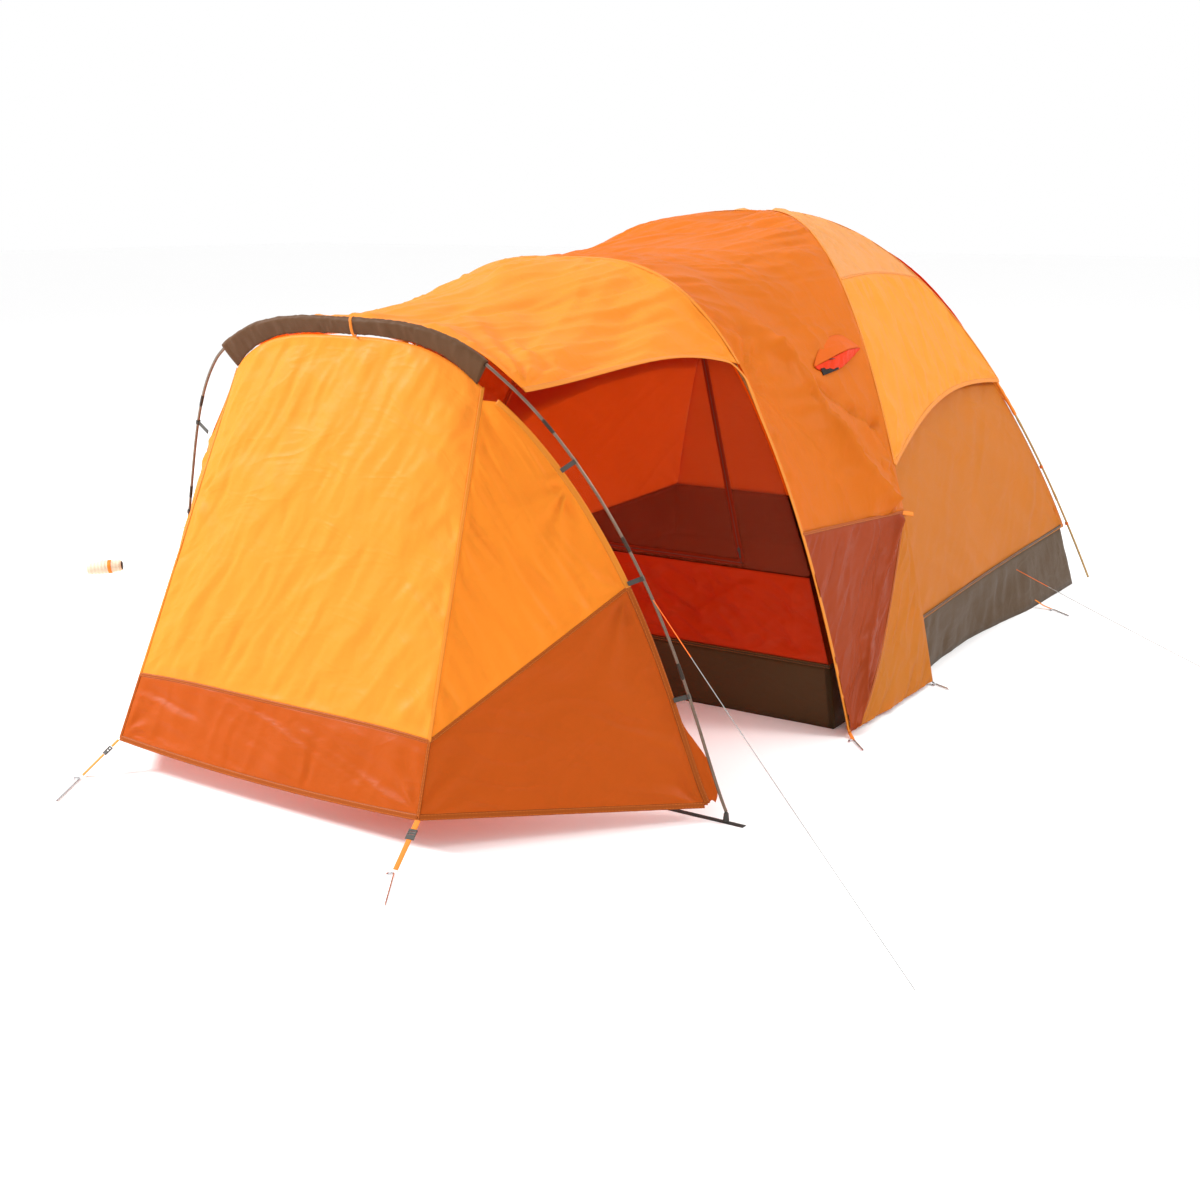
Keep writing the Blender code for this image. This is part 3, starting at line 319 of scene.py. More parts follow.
def roof(u, v):
    s = 2 * u - 1
    reach = np.where(s < 0, ROOF_HOOP_LEFT_T, ROOF_HOOP_T)
    a = hoop(reach * s) + np.array([0, 0.026, -ROOF_DROP])
    b = brow(ROOF_BROW_T * s) + np.array([0, -0.002, 0])
    crown_a, crown_b = hoop(0.0)[2] - ROOF_DROP, brow(0.0)[2]
    edge_a, edge_b = hoop(reach)[..., 2] - ROOF_DROP, brow(ROOF_BROW_T)[2]
    lift = np.sin(np.pi * np.clip(v, 0, 1))
    crown = crown_a + (crown_b - crown_a) * v * v * (3 - 2 * v) - ROOF_DIP * lift * (1 - v)
    edge = edge_a + (edge_b - edge_a) * v + ROOF_EDGE_LIFT * np.sin(np.pi * np.clip(v, 0, 1) ** 1.6)
    ridge = ROOF_CROWN_EXP - ROOF_RIDGE * np.maximum(lift, 0) ** 0.7
    p = mix(a, b, v)
    p[..., 2] = edge + (crown - edge) * (1 - np.abs(s) ** ridge)
    return p


def left_door(u, v):
    top = LEFT_DOOR_TOP - LEFT_DOOR_FALL * u
    z = top + (LEFT_DOOR_FOOT - top) * v
    a = hoop(-hoop_share(z / EDGE_SCALE), EDGE_SCALE) + np.array([0, 0.035, 0])
    b = at_height(brow, z, -1, BROW_TOP, BROW_EXP) + np.array([-0.004, -0.016, 0])
    return mix(a, b, u)


def tub_ring():
    """The lower and upper edges of the floor's wall, from the right front corner round to the left."""
    def top_x(y, z):
        share = np.clip((y - MID_FOOT_Y) / (REAR_FOOT_Y - MID_FOOT_Y), 0, 1)
        a = at_height(front_arm, z, 1, PEAK_Z, FRONT_EXP)[0]
        b = at_height(rear_arm, z, 1, PEAK_Z, REAR_EXP)[0]
        return a + (b - a) * share - inset(z) - WALL_HOLLOW * math.sin(math.pi * share)

    low, high = [], []
    side = list(np.linspace(FLOOR_FRONT, MID_FOOT_Y, 4)) + list(np.linspace(MID_FOOT_Y, FLOOR_REAR, 7))[1:]
    for y in side:
        z = TUB_FRONT + (TUB_REAR - TUB_FRONT) * np.clip((y - MID_FOOT_Y) / (FLOOR_REAR - MID_FOOT_Y), 0, 1)
        y_top = min(y, at_height(rear_arm, z, 1, PEAK_Z, REAR_EXP)[1] - inset(z) - REAR_WALL_GAP)
        low.append((FLOOR_HALF, y, 0.0))
        high.append((top_x(y, z) - 0.003 - (0.012 if y < MID_FOOT_Y - 0.01 else 0), y_top, z))
    low += [(-x, y, z) for x, y, z in reversed(low)]
    high += [(-x, y, z) for x, y, z in reversed(high)]
    return np.array(low, float), np.array(high, float)


# ---- folds and wrinkles ----
def lattice(ix, iy, seed):
    """A repeatable number from -1 to 1 for each whole-number place."""
    n = (ix.astype(np.int64) * 374761393 + iy.astype(np.int64) * 668265263 + seed * 974634777) & 0x7FFFFFFF
    n = ((n ^ (n >> 13)) * 1274126177) & 0x7FFFFFFF
    return ((n ^ (n >> 16)) & 0xFFFF) / 32767.5 - 1


def noise(x, y, seed):
    """Smooth noise from -1 to 1 over a plane."""
    x0, y0 = np.floor(x), np.floor(y)
    fx, fy = x - x0, y - y0
    fx, fy = fx ** 3 * (fx * (fx * 6 - 15) + 10), fy ** 3 * (fy * (fy * 6 - 15) + 10)
    a = lattice(x0, y0, seed) * (1 - fx) + lattice(x0 + 1, y0, seed) * fx
    b = lattice(x0, y0 + 1, seed) * (1 - fx) + lattice(x0 + 1, y0 + 1, seed) * fx
    return a * (1 - fy) + b * fy


def creases(seed, angle, across, along, height):
    """Long soft folds that run at an angle to the panel's width."""
    c, s = math.cos(math.radians(angle)), math.sin(math.radians(angle))

    def field(x, y, shares):
        a, b = x * c + y * s, -x * s + y * c
        b = b + 0.35 * across * noise(a / along * 1.7, b / across * 0.6, seed + 5)
        n = noise(a / along, b / across, seed)
        fine = noise(a / along * 2.1 + 9, b / across * 2.3 + 4, seed + 1)
        crisp = 1 - 2 * np.abs(noise(a / along * 1.3 + 3, b / across * 1.5 + 8, seed + 2)) ** 0.7
        return height * (0.70 * n + 0.16 * fine + 0.34 * crisp)
    return field


def pull(u, v, count, height, reach, seed=0):
    """Folds that fan out from a place under tension."""
    def field(x, y, shares):
        i, j = int(round(v * (x.shape[0] - 1))), int(round(u * (x.shape[1] - 1)))
        dx, dy = x - x[i, j], y - y[i, j]
        r, turn = np.hypot(dx, dy), np.arctan2(dy, dx)
        wave = np.sin(count * turn + 2.2 * noise(turn * 1.5, r * 5, seed + 31))
        return height * wave * np.exp(-r / reach) * smooth(r / 0.07)
    return field


def pucker(side, height, pitch, reach, seed=0):
    """Short gathers square to one seam: side is left, right, top or bottom."""
    def field(x, y, shares):
        away = {"left": shares[0], "right": shares[1], "top": shares[2], "bottom": shares[3]}[side]
        run = y if side in ("left", "right") else x
        n = noise(run / pitch, away / reach * 0.8, seed + 71)
        return height * n * np.exp(-away / reach) * smooth(away / 0.012)
    return field


def ridge(places, height, width, seed=0):
    """One crisp line of tension through places given as shares across and down the panel."""
    def field(x, y, shares):
        spots = []
        for u, v in places:
            i, j = int(round(v * (x.shape[0] - 1))), int(round(u * (x.shape[1] - 1)))
            spots.append((x[i, j], y[i, j]))
        nearest = np.full(x.shape, 1e9)
        for (ax, ay), (bx, by) in zip(spots, spots[1:]):
            dx, dy = bx - ax, by - ay
            k = np.clip(((x - ax) * dx + (y - ay) * dy) / (dx * dx + dy * dy + 1e-9), 0, 1)
            nearest = np.minimum(nearest, np.hypot(x - ax - k * dx, y - ay - k * dy))
        return height * np.exp(-nearest / width) * (1 + 0.25 * noise(x / 0.2, y / 0.2, seed + 91))
    return field


# ---- meshes ----
def new_object(name, points, faces, uvs, material):
    mesh = bpy.data.meshes.new(name)
    mesh.from_pydata(np.asarray(points, float).tolist(), [], [tuple(int(k) for k in f) for f in faces])
    layer = mesh.uv_layers.new(name="cloth")
    loops = np.empty(len(mesh.loops), np.int64)
    mesh.loops.foreach_get("vertex_index", loops)
    layer.data.foreach_set("uv", np.asarray(uvs, np.float32)[loops].ravel())
    mesh.polygons.foreach_set("use_smooth", [True] * len(mesh.polygons))
    mesh.materials.append(material)
    obj = bpy.data.objects.new(name, mesh)
    scene.collection.objects.link(obj)
    return obj


def outward(points, faces):
    """The same faces, turned if the closed shape would be inside out."""
    p = np.asarray(points, float)
    p = p - p.mean(0)
    total = 0.0
    for f in faces:
        for i in range(1, len(f) - 1):
            total += np.dot(p[f[0]], np.cross(p[f[i]], p[f[i + 1]]))
    return [tuple(reversed(f)) for f in faces] if total < 0 else faces


def ring_faces(rows, count):
    """Faces between rows of points that each close into a ring."""
    faces = []
    for r in range(rows - 1):
        for i in range(count):
            j = (i + 1) % count
            faces.append((r * count + i, r * count + j, (r + 1) * count + j, (r + 1) * count + i))
    return faces


def end_faces(rows, count):
    return [tuple(reversed(range(count))), tuple(range((rows - 1) * count, rows * count))]


def cloth(name, surface, inside, material, replaces=(), body="tent", offset=0.0, cell=0.013, folds=(),
          free=(), trim=0.0006, wrap=False, hole=None):
    """One cloth panel with its folds, as a thin closed sheet."""
    rough = surface(*np.meshgrid(np.linspace(0, 1, 25), np.linspace(0, 1, 25)))
    wide = np.linalg.norm(np.diff(rough, axis=1), axis=2).sum(1).max()
    tall = np.linalg.norm(np.diff(rough, axis=0), axis=2).sum(0).max()
    nu, nv = max(int(wide / cell), 6), max(int(tall / cell), 6)
    tu, tv = (0 if wrap else trim / wide), trim / tall
    u, v = np.meshgrid(np.linspace(tu, 1 - tu, nu + 1), np.linspace(tv, 1 - tv, nv + 1))
    p = surface(u, v)
    pu, pv = np.gradient(p, axis=1), np.gradient(p, axis=0)
    n = unit(np.cross(pu, pv))
    mid = (nv // 2, nu // 2)
    if np.dot(n[mid], p[mid] - inside) < 0:
        n = -n
    row = np.concatenate([np.zeros((nv + 1, 1)), np.cumsum(np.linalg.norm(np.diff(p, axis=1), axis=2), 1)], 1)
    col = np.concatenate([np.zeros((1, nu + 1)), np.cumsum(np.linalg.norm(np.diff(p, axis=0), axis=2), 0)], 0)
    x, y = row - row[:, -1:] / 2, col
    shares = (row, row[:, -1:] - row, col, col[-1:] - col)
    depth = np.zeros_like(x)
    for field in folds:
        depth += FOLD * field(x, y, shares)
    for away, side in zip(shares, ("left", "right", "top", "bottom")):
        if side not in free and not (wrap and side in ("left", "right")):
            depth *= smooth(away / FOLD_FADE)
    area = 0.5 * np.linalg.norm(np.cross(p[1:, :-1] - p[:-1, :-1], p[:-1, 1:] - p[:-1, :-1]), axis=2).sum()
    area += 0.5 * np.linalg.norm(np.cross(p[1:, :-1] - p[1:, 1:], p[:-1, 1:] - p[1:, 1:]), axis=2).sum()
    top = p + n * (offset + depth)[..., None]
    low = top - n * CLOTH
    count = (nu + 1) * (nv + 1)
    index = np.arange(count).reshape(nv + 1, nu + 1)
    points = np.concatenate([top.reshape(-1, 3), low.reshape(-1, 3)])
    uvs = np.concatenate([np.stack([x, y], -1).reshape(-1, 2)] * 2)
    cells = np.ones((nv, nu), bool)
    if hole:
        ju = (u[:-1, :-1] + u[1:, 1:]) / 2
        jv = (v[:-1, :-1] + v[1:, 1:]) / 2
        cells &= ~((ju > hole[0]) & (ju < hole[1]) & (jv > hole[2]) & (jv < hole[3]))
    faces = []
    flip = np.dot(np.cross(pu[mid], pv[mid]), p[mid] - inside) < 0
    padded = np.pad(cells, 1)
    for j in range(nv):
        for i in range(nu):
            if not cells[j, i]:
                continue
            ring = (index[j, i], index[j, i + 1], index[j + 1, i + 1], index[j + 1, i])
            ring = tuple(reversed(ring)) if flip else ring
            faces.append(ring)
            faces.append(tuple(k + count for k in reversed(ring)))
            for a, b in zip(ring, ring[1:] + ring[:1]):
                ja, ia, jb, ib = a // (nu + 1), a % (nu + 1), b // (nu + 1), b % (nu + 1)
                if ja == jb:
                    other = (j - 1 if ja == j else j + 1, i)
                else:
                    other = (j, i - 1 if ia == i else i + 1)
                if not padded[other[0] + 1, other[1] + 1]:
                    faces.append((b, a, a + count, b + count))
    used = np.unique(np.concatenate([np.array(f) for f in faces]))
    remap = -np.ones(2 * count, np.int64)
    remap[used] = np.arange(len(used))
    obj = new_object(name, points[used], [tuple(remap[list(f)]) for f in faces], uvs[used], material)
    finish_piece(obj, body, replaces)
    if area < 0.35 * wide * tall:  # a tapered cut is about half the rectangle it comes from
        wide = area / (0.5 * tall)
    return obj


def finish_piece(obj, body, replaces=()):
    if body:
        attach(obj, body)
    if replaces:
        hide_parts(*([replaces] if isinstance(replaces, str) else replaces))
    return obj


def edge(surface, inside, u=None, v=None, offset=0.0, count=140, span=(0.0, 1.0)):
    """Points and outward directions along one line of a surface."""
    run = np.linspace(span[0], span[1], count)
    uu = run if u is None else np.broadcast_to(np.asarray(u, float), (count,))
    vv = run if v is None else np.broadcast_to(np.asarray(v, float), (count,))
    e = 2e-3
    p = surface(uu, vv)
    du = surface(np.clip(uu + e, 0, 1), vv) - surface(np.clip(uu - e, 0, 1), vv)
    dv = surface(uu, np.clip(vv + e, 0, 1)) - surface(uu, np.clip(vv - e, 0, 1))
    n = unit(np.cross(du, dv))
    m = count // 2
    if np.dot(n[m], p[m] - inside) < 0:
        n = -n
    return p + n * offset, n


def strip(name, path, out, width, height, material, body="tent", replaces=(), below=0.0008):
    """A flat tape or seam along a path, rounded on top."""
    path, out = np.asarray(path, float), np.asarray(out, float)
    out = np.broadcast_to(out, path.shape)
    tangent = unit(np.gradient(path, axis=0))
    side = unit(np.cross(tangent, out))
    out = unit(np.cross(side, tangent))
    section = [(-0.5, -below), (-0.5, height * 0.25), (-0.42, height * 0.8), (-0.15, height), (0.15, height),
               (0.42, height * 0.8), (0.5, height * 0.25), (0.5, -below)]
    k, n = len(section), len(path)
    points = np.stack([path + side * (a * width) + out * b for a, b in section], 1).reshape(-1, 3)
    uvs = np.stack([np.tile([a * width for a, _ in section], n), np.repeat(distances(path), k)], -1)
    faces = ring_faces(n, k) + end_faces(n, k)
    obj = new_object(name, points, outward(points, faces), uvs, material)
    return finish_piece(obj, body, replaces)


def tube(name, path, radius, material, body="tent", replaces=(), sides=14):
    """A round tube along a path; radius is one value or one for each point."""
    path = np.asarray(path, float)
    radius = np.broadcast_to(np.asarray(radius, float), (len(path),))
    tangent = unit(np.gradient(path, axis=0))
    ref = np.array([0.0, 1.0, 0.0]) if abs(tangent[0, 1]) < 0.9 else np.array([1.0, 0, 0])
    side = unit(np.cross(tangent[0], ref))
    sides_out = []
    for t in tangent:
        side = unit(side - t * np.dot(side, t))
        sides_out.append(side)
    side = np.array(sides_out)
    up = np.cross(tangent, side)
    turn = np.linspace(0, 2 * np.pi, sides, endpoint=False)
    points = (path[:, None] + radius[:, None, None] * (side[:, None] * np.cos(turn)[None, :, None]
                                                      + up[:, None] * np.sin(turn)[None, :, None]))
    n = len(path)
    uvs = np.stack([np.tile(turn * 0.006, n), np.repeat(distances(path), sides)], -1)
    faces = ring_faces(n, sides) + end_faces(n, sides)
    flat = points.reshape(-1, 3)
    obj = new_object(name, flat, outward(flat, faces), uvs, material)
    return finish_piece(obj, body, replaces)


# ---- materials ----
class Finish:
    """A material's node tree, with short calls to add and join nodes."""

    def __init__(self, name):
        self.material = bpy.data.materials.new(name)
        self.material.use_nodes = True
        self.tree = self.material.node_tree
        self.shader = self.tree.nodes["Principled BSDF"]
        self.output = self.tree.nodes["Material Output"]

    def node(self, kind, **values):
        made = self.tree.nodes.new(kind)
        for key, value in values.items():
            setattr(made, key, value)
        return made

    def link(self, a, b):
        self.tree.links.new(a, b)

    def math(self, operation, a, b=None):
        made = self.node("ShaderNodeMath", operation=operation)
        for socket, value in zip(made.inputs, (a, b)):
            if value is None:
                continue
            if isinstance(value, (int, float)):
                socket.default_value = value
            else:
                self.link(value, socket)
        return made.outputs[0]

    def blend(self, share, low, high):
        """A colour between two others, each a colour or a socket."""
        made = self.node("ShaderNodeMix", data_type="RGBA")
        picks = [s for s in made.inputs if s.enabled]
        self.link(share, picks[0])
        for socket, value in zip(picks[1:], (low, high)):
            if isinstance(value, bpy.types.NodeSocket):
                self.link(value, socket)
            else:
                socket.default_value = (*value, 1.0)
        return [s for s in made.outputs if s.enabled][0]

    def noise(self, vector, scale, detail=3.0, rough=0.55, stretch=(1, 1, 1), turn=0.0, bend=0.0):
        place = self.node("ShaderNodeMapping")
        place.inputs["Scale"].default_value = stretch
        place.inputs["Rotation"].default_value = (0, 0, math.radians(turn))
        self.link(vector, place.inputs["Vector"])
        made = self.node("ShaderNodeTexNoise")
        made.inputs["Scale"].default_value = scale
        made.inputs["Detail"].default_value = detail
        made.inputs["Roughness"].default_value = rough
        made.inputs["Distortion"].default_value = bend
        self.link(place.outputs[0], made.inputs["Vector"])
        return made.outputs["Fac"]

    def cloth_uv(self):
        return self.node("ShaderNodeUVMap", uv_map="cloth").outputs[0]

    def bump(self, height, strength, distance):
        made = self.node("ShaderNodeBump")
        made.inputs["Strength"].default_value = strength
        made.inputs["Distance"].default_value = distance
        self.link(height, made.inputs["Height"])
        self.link(made.outputs[0], self.shader.inputs["Normal"])
        return made.outputs[0]


def srgb(text):
    """A linear colour from six hex digits."""
    parts = [int(text[i:i + 2], 16) / 255 for i in (0, 2, 4)]
    return tuple(c / 12.92 if c <= 0.04045 else ((c + 0.055) / 1.055) ** 2.4 for c in parts)


def scaled(colour, k):
    return tuple(min(c * k, 1.0) for c in colour)


def grid_lines(f, uv, pitch, width):
    """1 on the heavier threads of a ripstop weave."""
    parts = f.node("ShaderNodeSeparateXYZ")
    f.link(uv, parts.inputs[0])
    out = []
    for axis in (0, 1):
        place = f.math("FRACT", f.math("DIVIDE", parts.outputs[axis], pitch))
        out.append(f.math("LESS_THAN", place, width / pitch))
    return f.math("MAXIMUM", out[0], out[1])


def fabric(name, colour, through=0.35, rough=0.46, crinkle=0.0022, turn=35.0, deep=0.82, glow=None):
    """Coated taffeta: fine weave, soft crinkles and light that passes through it."""
    f = Finish(name)
    uv = f.cloth_uv()
    broad = f.noise(uv, 2.6, 2.0, turn=turn, stretch=(1, 0.45, 1))
    waves = f.noise(uv, 7.0, 2.5, 0.5, stretch=(0.5, 1.0, 1), turn=turn, bend=0.9)
    fold = f.math("ABSOLUTE", f.math("SUBTRACT", waves, 0.5))
    small = f.noise(uv, 34.0, 2.0, 0.5, turn=turn + 50, bend=0.6)
    thread = grid_lines(f, uv, 0.0050, 0.0006)
    weave = f.noise(uv, 900.0, 1.0, stretch=(1, 0.5, 1))
    base = f.blend(broad, scaled(colour, 0.93), scaled(colour, 1.06))
    base = f.blend(f.math("MULTIPLY", thread, 0.14), base, scaled(colour, deep))
    f.link(base, f.shader.inputs["Base Color"])
    shine = f.math("ADD", f.math("MULTIPLY", fold, 0.30), rough - 0.06)
    f.link(shine, f.shader.inputs["Roughness"])
    f.shader.inputs["Specular IOR Level"].default_value = 0.13
    f.shader.inputs["Sheen Weight"].default_value = 0.02
    height = f.math("ADD", f.math("MULTIPLY", fold, -1.2), f.math("MULTIPLY", small, 0.12))
    height = f.math("ADD", height, f.math("MULTIPLY", thread, 0.008))
    height = f.math("ADD", height, f.math("MULTIPLY", weave, 0.008))
    normal = f.bump(height, 0.85, crinkle * 4)
    if through:
        glowing = f.node("ShaderNodeBsdfTranslucent")
        glowing.inputs["Color"].default_value = (*(glow or colour), 1.0)
        f.link(normal, glowing.inputs["Normal"])
        both = f.node("ShaderNodeMixShader")
        both.inputs[0].default_value = through
        f.link(f.shader.outputs[0], both.inputs[1])
        f.link(glowing.outputs[0], both.inputs[2])
        f.link(both.outputs[0], f.output.inputs["Surface"])
    return f.material


def netting(name, colour, open_share):
    """Fine insect mesh: a woven grid with gaps that show what is behind."""
    f = Finish(name)
    uv = f.cloth_uv()
    broad = f.noise(uv, 3.0, 2.0)
    f.link(f.blend(broad, scaled(colour, 0.9), scaled(colour, 1.1)), f.shader.inputs["Base Color"])
    f.shader.inputs["Roughness"].default_value = 0.75
    f.shader.inputs["Alpha"].default_value = 1 - open_share
    f.bump(f.noise(uv, 14.0, 2.0), 0.3, 0.002)
    return f.material


def webbing_finish(name, colour):
    """Flat woven tape with ribs across it."""
    f = Finish(name)
    uv = f.cloth_uv()
    parts = f.node("ShaderNodeSeparateXYZ")
    f.link(uv, parts.inputs[0])
    rib = f.math("PINGPONG", f.math("DIVIDE", parts.outputs[1], 0.0016), 1.0)
    cross = f.math("PINGPONG", f.math("DIVIDE", parts.outputs[0], 0.0022), 1.0)
    shade = f.math("MULTIPLY", rib, cross)
    f.link(f.blend(shade, scaled(colour, 0.72), scaled(colour, 1.08)), f.shader.inputs["Base Color"])
    f.shader.inputs["Roughness"].default_value = 0.7
    f.bump(shade, 0.6, 0.0008)
    return f.material


def hard(name, colour, rough, metallic=0.0, grain=220.0, wear=None):
    """Moulded plastic, anodised tube or bare steel, with fine grain and worn patches."""
    f = Finish(name)
    place = f.node("ShaderNodeTexCoord").outputs["Object"]
    patches = f.noise(place, 18.0, 3.0)
    fine = f.noise(place, grain, 2.0)
    f.link(f.blend(patches, scaled(colour, 0.85), wear or scaled(colour, 1.2)), f.shader.inputs["Base Color"])
    f.link(f.math("ADD", f.math("MULTIPLY", fine, 0.18), rough - 0.09), f.shader.inputs["Roughness"])
    f.shader.inputs["Metallic"].default_value = metallic
    f.bump(fine, 0.25, 0.0003)
    return f.material


def cord_finish(name, colour, near, turn_z):
    """Braided line whose upper end, above a height, has another colour."""
    f = Finish(name)
    place = f.node("ShaderNodeTexCoord").outputs["Object"]
    parts = f.node("ShaderNodeSeparateXYZ")
    f.link(place, parts.inputs[0])
    high = f.math("GREATER_THAN", parts.outputs[2], turn_z)
    fleck = f.noise(place, 420.0, 2.0)
    low = f.blend(fleck, scaled(colour, 0.75), scaled(colour, 1.1))
    f.link(f.blend(high, low, near), f.shader.inputs["Base Color"])
    f.shader.inputs["Roughness"].default_value = 0.7
    f.bump(fleck, 0.5, 0.0004)
    return f.material


# LIT_FRONT_ORANGE is the vestibule side cloth's orange painted a little lighter: painted light on the front
# panel, which is the same fabric
LIT_FRONT_ORANGE, SIDE_ORANGE, ROOF_ORANGE = srgb("FDAA38"), srgb("F5A02C"), srgb("F2A030")
DOME_ORANGE, FLY_ORANGE, PALE_ORANGE = srgb("D67A18"), srgb("F2A83A"), srgb("ECB46A")
BURNT, CORNER_BURNT, TAN, BROWN = srgb("B8560C"), srgb("94380A"), srgb("D08228"), srgb("48331B")
RED_LINING, SLEEVE_BROWN, LINE_ORANGE = srgb("C43408"), srgb("553820"), srgb("F5700A")
GLOW = srgb("FC861A")     # daylight that has come through the orange cloth

front_cloth = fabric("front_cloth", LIT_FRONT_ORANGE, 0.42, turn=52, glow=GLOW)
vestibule_cloth = fabric("vestibule_cloth", SIDE_ORANGE, 0.42, turn=60, glow=GLOW)
roof_cloth = fabric("roof_cloth", ROOF_ORANGE, 0.42, turn=20, glow=GLOW)
dome_cloth = fabric("dome_cloth", DOME_ORANGE, 0.42, turn=35, glow=GLOW)
side_fly_cloth = fabric("side_fly_cloth", FLY_ORANGE, 0.42, turn=75, glow=GLOW)
pale_fly_cloth = fabric("pale_fly_cloth", PALE_ORANGE, 0.45, turn=40, glow=srgb("F8943A"), crinkle=0.0032)
rear_fly_cloth = fabric("rear_fly_cloth", FLY_ORANGE, 0.55, turn=10, glow=GLOW)
burnt_cloth = fabric("burnt_cloth", BURNT, 0.30, turn=8, glow=GLOW)
corner_cloth = fabric("corner_cloth", CORNER_BURNT, 0.18, turn=80, glow=GLOW)
tan_cloth = fabric("tan_cloth", TAN, 0.45, turn=62, glow=srgb("E8823A"))
# copy of the tan cloth for the left and rear walls that lets more and brighter light through: painted light
# on the far walls, same fabric as tan_cloth
tan_far_glow_cloth = fabric("tan_far_glow_cloth", TAN, 0.62, turn=62, glow=srgb("FF9440"))
floor_cloth = fabric("floor_cloth", BROWN, 0.0, rough=0.5, turn=70)
lining_cloth = fabric("lining_cloth", RED_LINING, 0.20, turn=25, crinkle=0.003)
sleeve_cloth = fabric("sleeve_cloth", SLEEVE_BROWN, 0.0, rough=0.6, turn=5)
vent_cloth = fabric("vent_cloth", srgb("E43A06"), 0.25, turn=20, glow=srgb("F04A10"))
vent_top_cloth = fabric("vent_top_cloth", srgb("E27018"), 0.40, turn=20, glow=GLOW)
# near-black opaque cloth: painted shade of the dark opening under the front vent's hood
vent_shade_black = fabric("vent_shade_black", srgb("160C06"), 0.0, turn=0)
seam_cloth = fabric("seam_cloth", srgb("CC7A22"), 0.0, crinkle=0.0008)
burnt_seam = fabric("burnt_seam", scaled(BURNT, 0.60), 0.0, crinkle=0.0008)
brown_seam = fabric("brown_seam", scaled(BROWN, 0.8), 0.0, crinkle=0.0008)
zip_tape = fabric("zip_tape", srgb("7E2408"), 0.0, crinkle=0.0008)
insect_mesh = netting("insect_mesh", srgb("9A3A14"), 0.70)
orange_webbing = webbing_finish("orange_webbing", srgb("F5860F"))
dark_webbing = webbing_finish("dark_webbing", srgb("2E2620"))
pole_finish = hard("pole_finish", srgb("6A5648"), 0.30, 0.85, 260, srgb("857466"))
ferrule_finish = hard("ferrule_finish", srgb("3C332C"), 0.38, 0.8)
gold_pole_finish = hard("gold_pole_finish", srgb("A07C48"), 0.32, 0.8, 260, srgb("BC9A62"))
clip_finish = hard("clip_finish", srgb("C8641A"), 0.5)
plastic_finish = hard("plastic_finish", srgb("33302A"), 0.5, 0.0, 340)
steel_finish = hard("steel_finish", srgb("D0D0D2"), 0.25, 1.0, 300)
thread_finish = hard("thread_finish", srgb("E07A1E"), 0.7)
cream_cloth = fabric("cream_cloth", srgb("CFC5AE"), 0.0, turn=10)
# near-black cloth: painted shade inside the pouch's open end
pouch_mouth_shade = fabric("pouch_mouth_shade", srgb("2A211A"), 0.0)

# ---- guy lines ----


def line_between(name, start, end, count, finish, sag):
    """A taut line with the slight sag of its own weight."""
    curve = bpy.data.curves.new(name, "CURVE")
    curve.dimensions = "3D"
    curve.bevel_depth, curve.bevel_resolution, curve.use_fill_caps = CORD_R, 3, True
    spline = curve.splines.new("POLY")
    spline.points.add(count - 1)
    for k in range(count):
        s = k / (count - 1)
        p = mix(start, end, s) - np.array([0, 0, sag * math.sin(math.pi * s)])
        p[2] = max(p[2], CORD_REST_Z)
        spline.points[k].co = (*p, 1.0)
    curve.materials.append(finish)
    obj = bpy.data.objects.new(name.replace("guy_", "tent_"), curve)
    scene.collection.objects.link(obj)
    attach(obj, "tent")
    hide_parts(name)
    return obj


guy_t = hoop_share(GUY_Z)
LINES = {}
for label, sign, end in (("front_right", 1, (2.358, -3.329, CORD_REST_Z)),
                         ("front_left", -1, (-3.258, -2.062, CORD_REST_Z))):
    start = hoop(sign * guy_t)
    aim = unit(np.array(end) - start)
    LINES[label] = (start + aim * (POLE_R + 0.006), np.array(end))
LINES["side_right"] = (np.array([1.262, 0.500, 0.262]), np.array([2.283, 0.129, CORD_REST_Z]))

# the pouch that hangs on the left line: a rolled cloth sack with a band, and a near-black plug at its open
# end that is painted shade
pouch_at = mix(hoop(-guy_t), LINES["front_left"][1], 0.36) - np.array([0, 0, 0.042])
pouch_along = unit(np.array([0.80, 0.60, 0.0]))
rolls = np.linspace(-0.5, 0.5, 40)
swell = 0.030 * (0.90 + 0.10 * np.cos(rolls * 5.2)) * np.where(np.abs(rolls) > 0.46, 0.93, 1.0)
pouch_path = pouch_at + pouch_along * (0.150 * rolls)[:, None]
pouch_path = pouch_path + np.array([0, 0, 1]) * (0.015 * rolls)[:, None]
tube("line_pouch", pouch_path, swell * (1 + 0.03 * np.sin(rolls * 61)), cream_cloth,
     replaces="guy_line_pouch", sides=28)
tube("line_pouch_band", pouch_path[24:29], swell[24:29] + 0.0012, orange_webbing, sides=28)
tube("line_pouch_mouth", pouch_path[-2:] + pouch_along * 0.0018, swell[-2:] * 0.80, pouch_mouth_shade, sides=28)
line_between("guy_line_front_right", *LINES["front_right"], 48,
             cord_finish("line_right_finish", srgb("8E8E8C"), LINE_ORANGE, 0.600), 0.006)
line_between("guy_line_front_left", *LINES["front_left"], 48,
             cord_finish("line_left_finish", srgb("A2A29F"), LINE_ORANGE, 0.710), 0.008)
line_between("guy_line_side_right", *LINES["side_right"], 40,
             cord_finish("line_side_finish", srgb("A2A29F"), LINE_ORANGE, 0.214), 0.004)

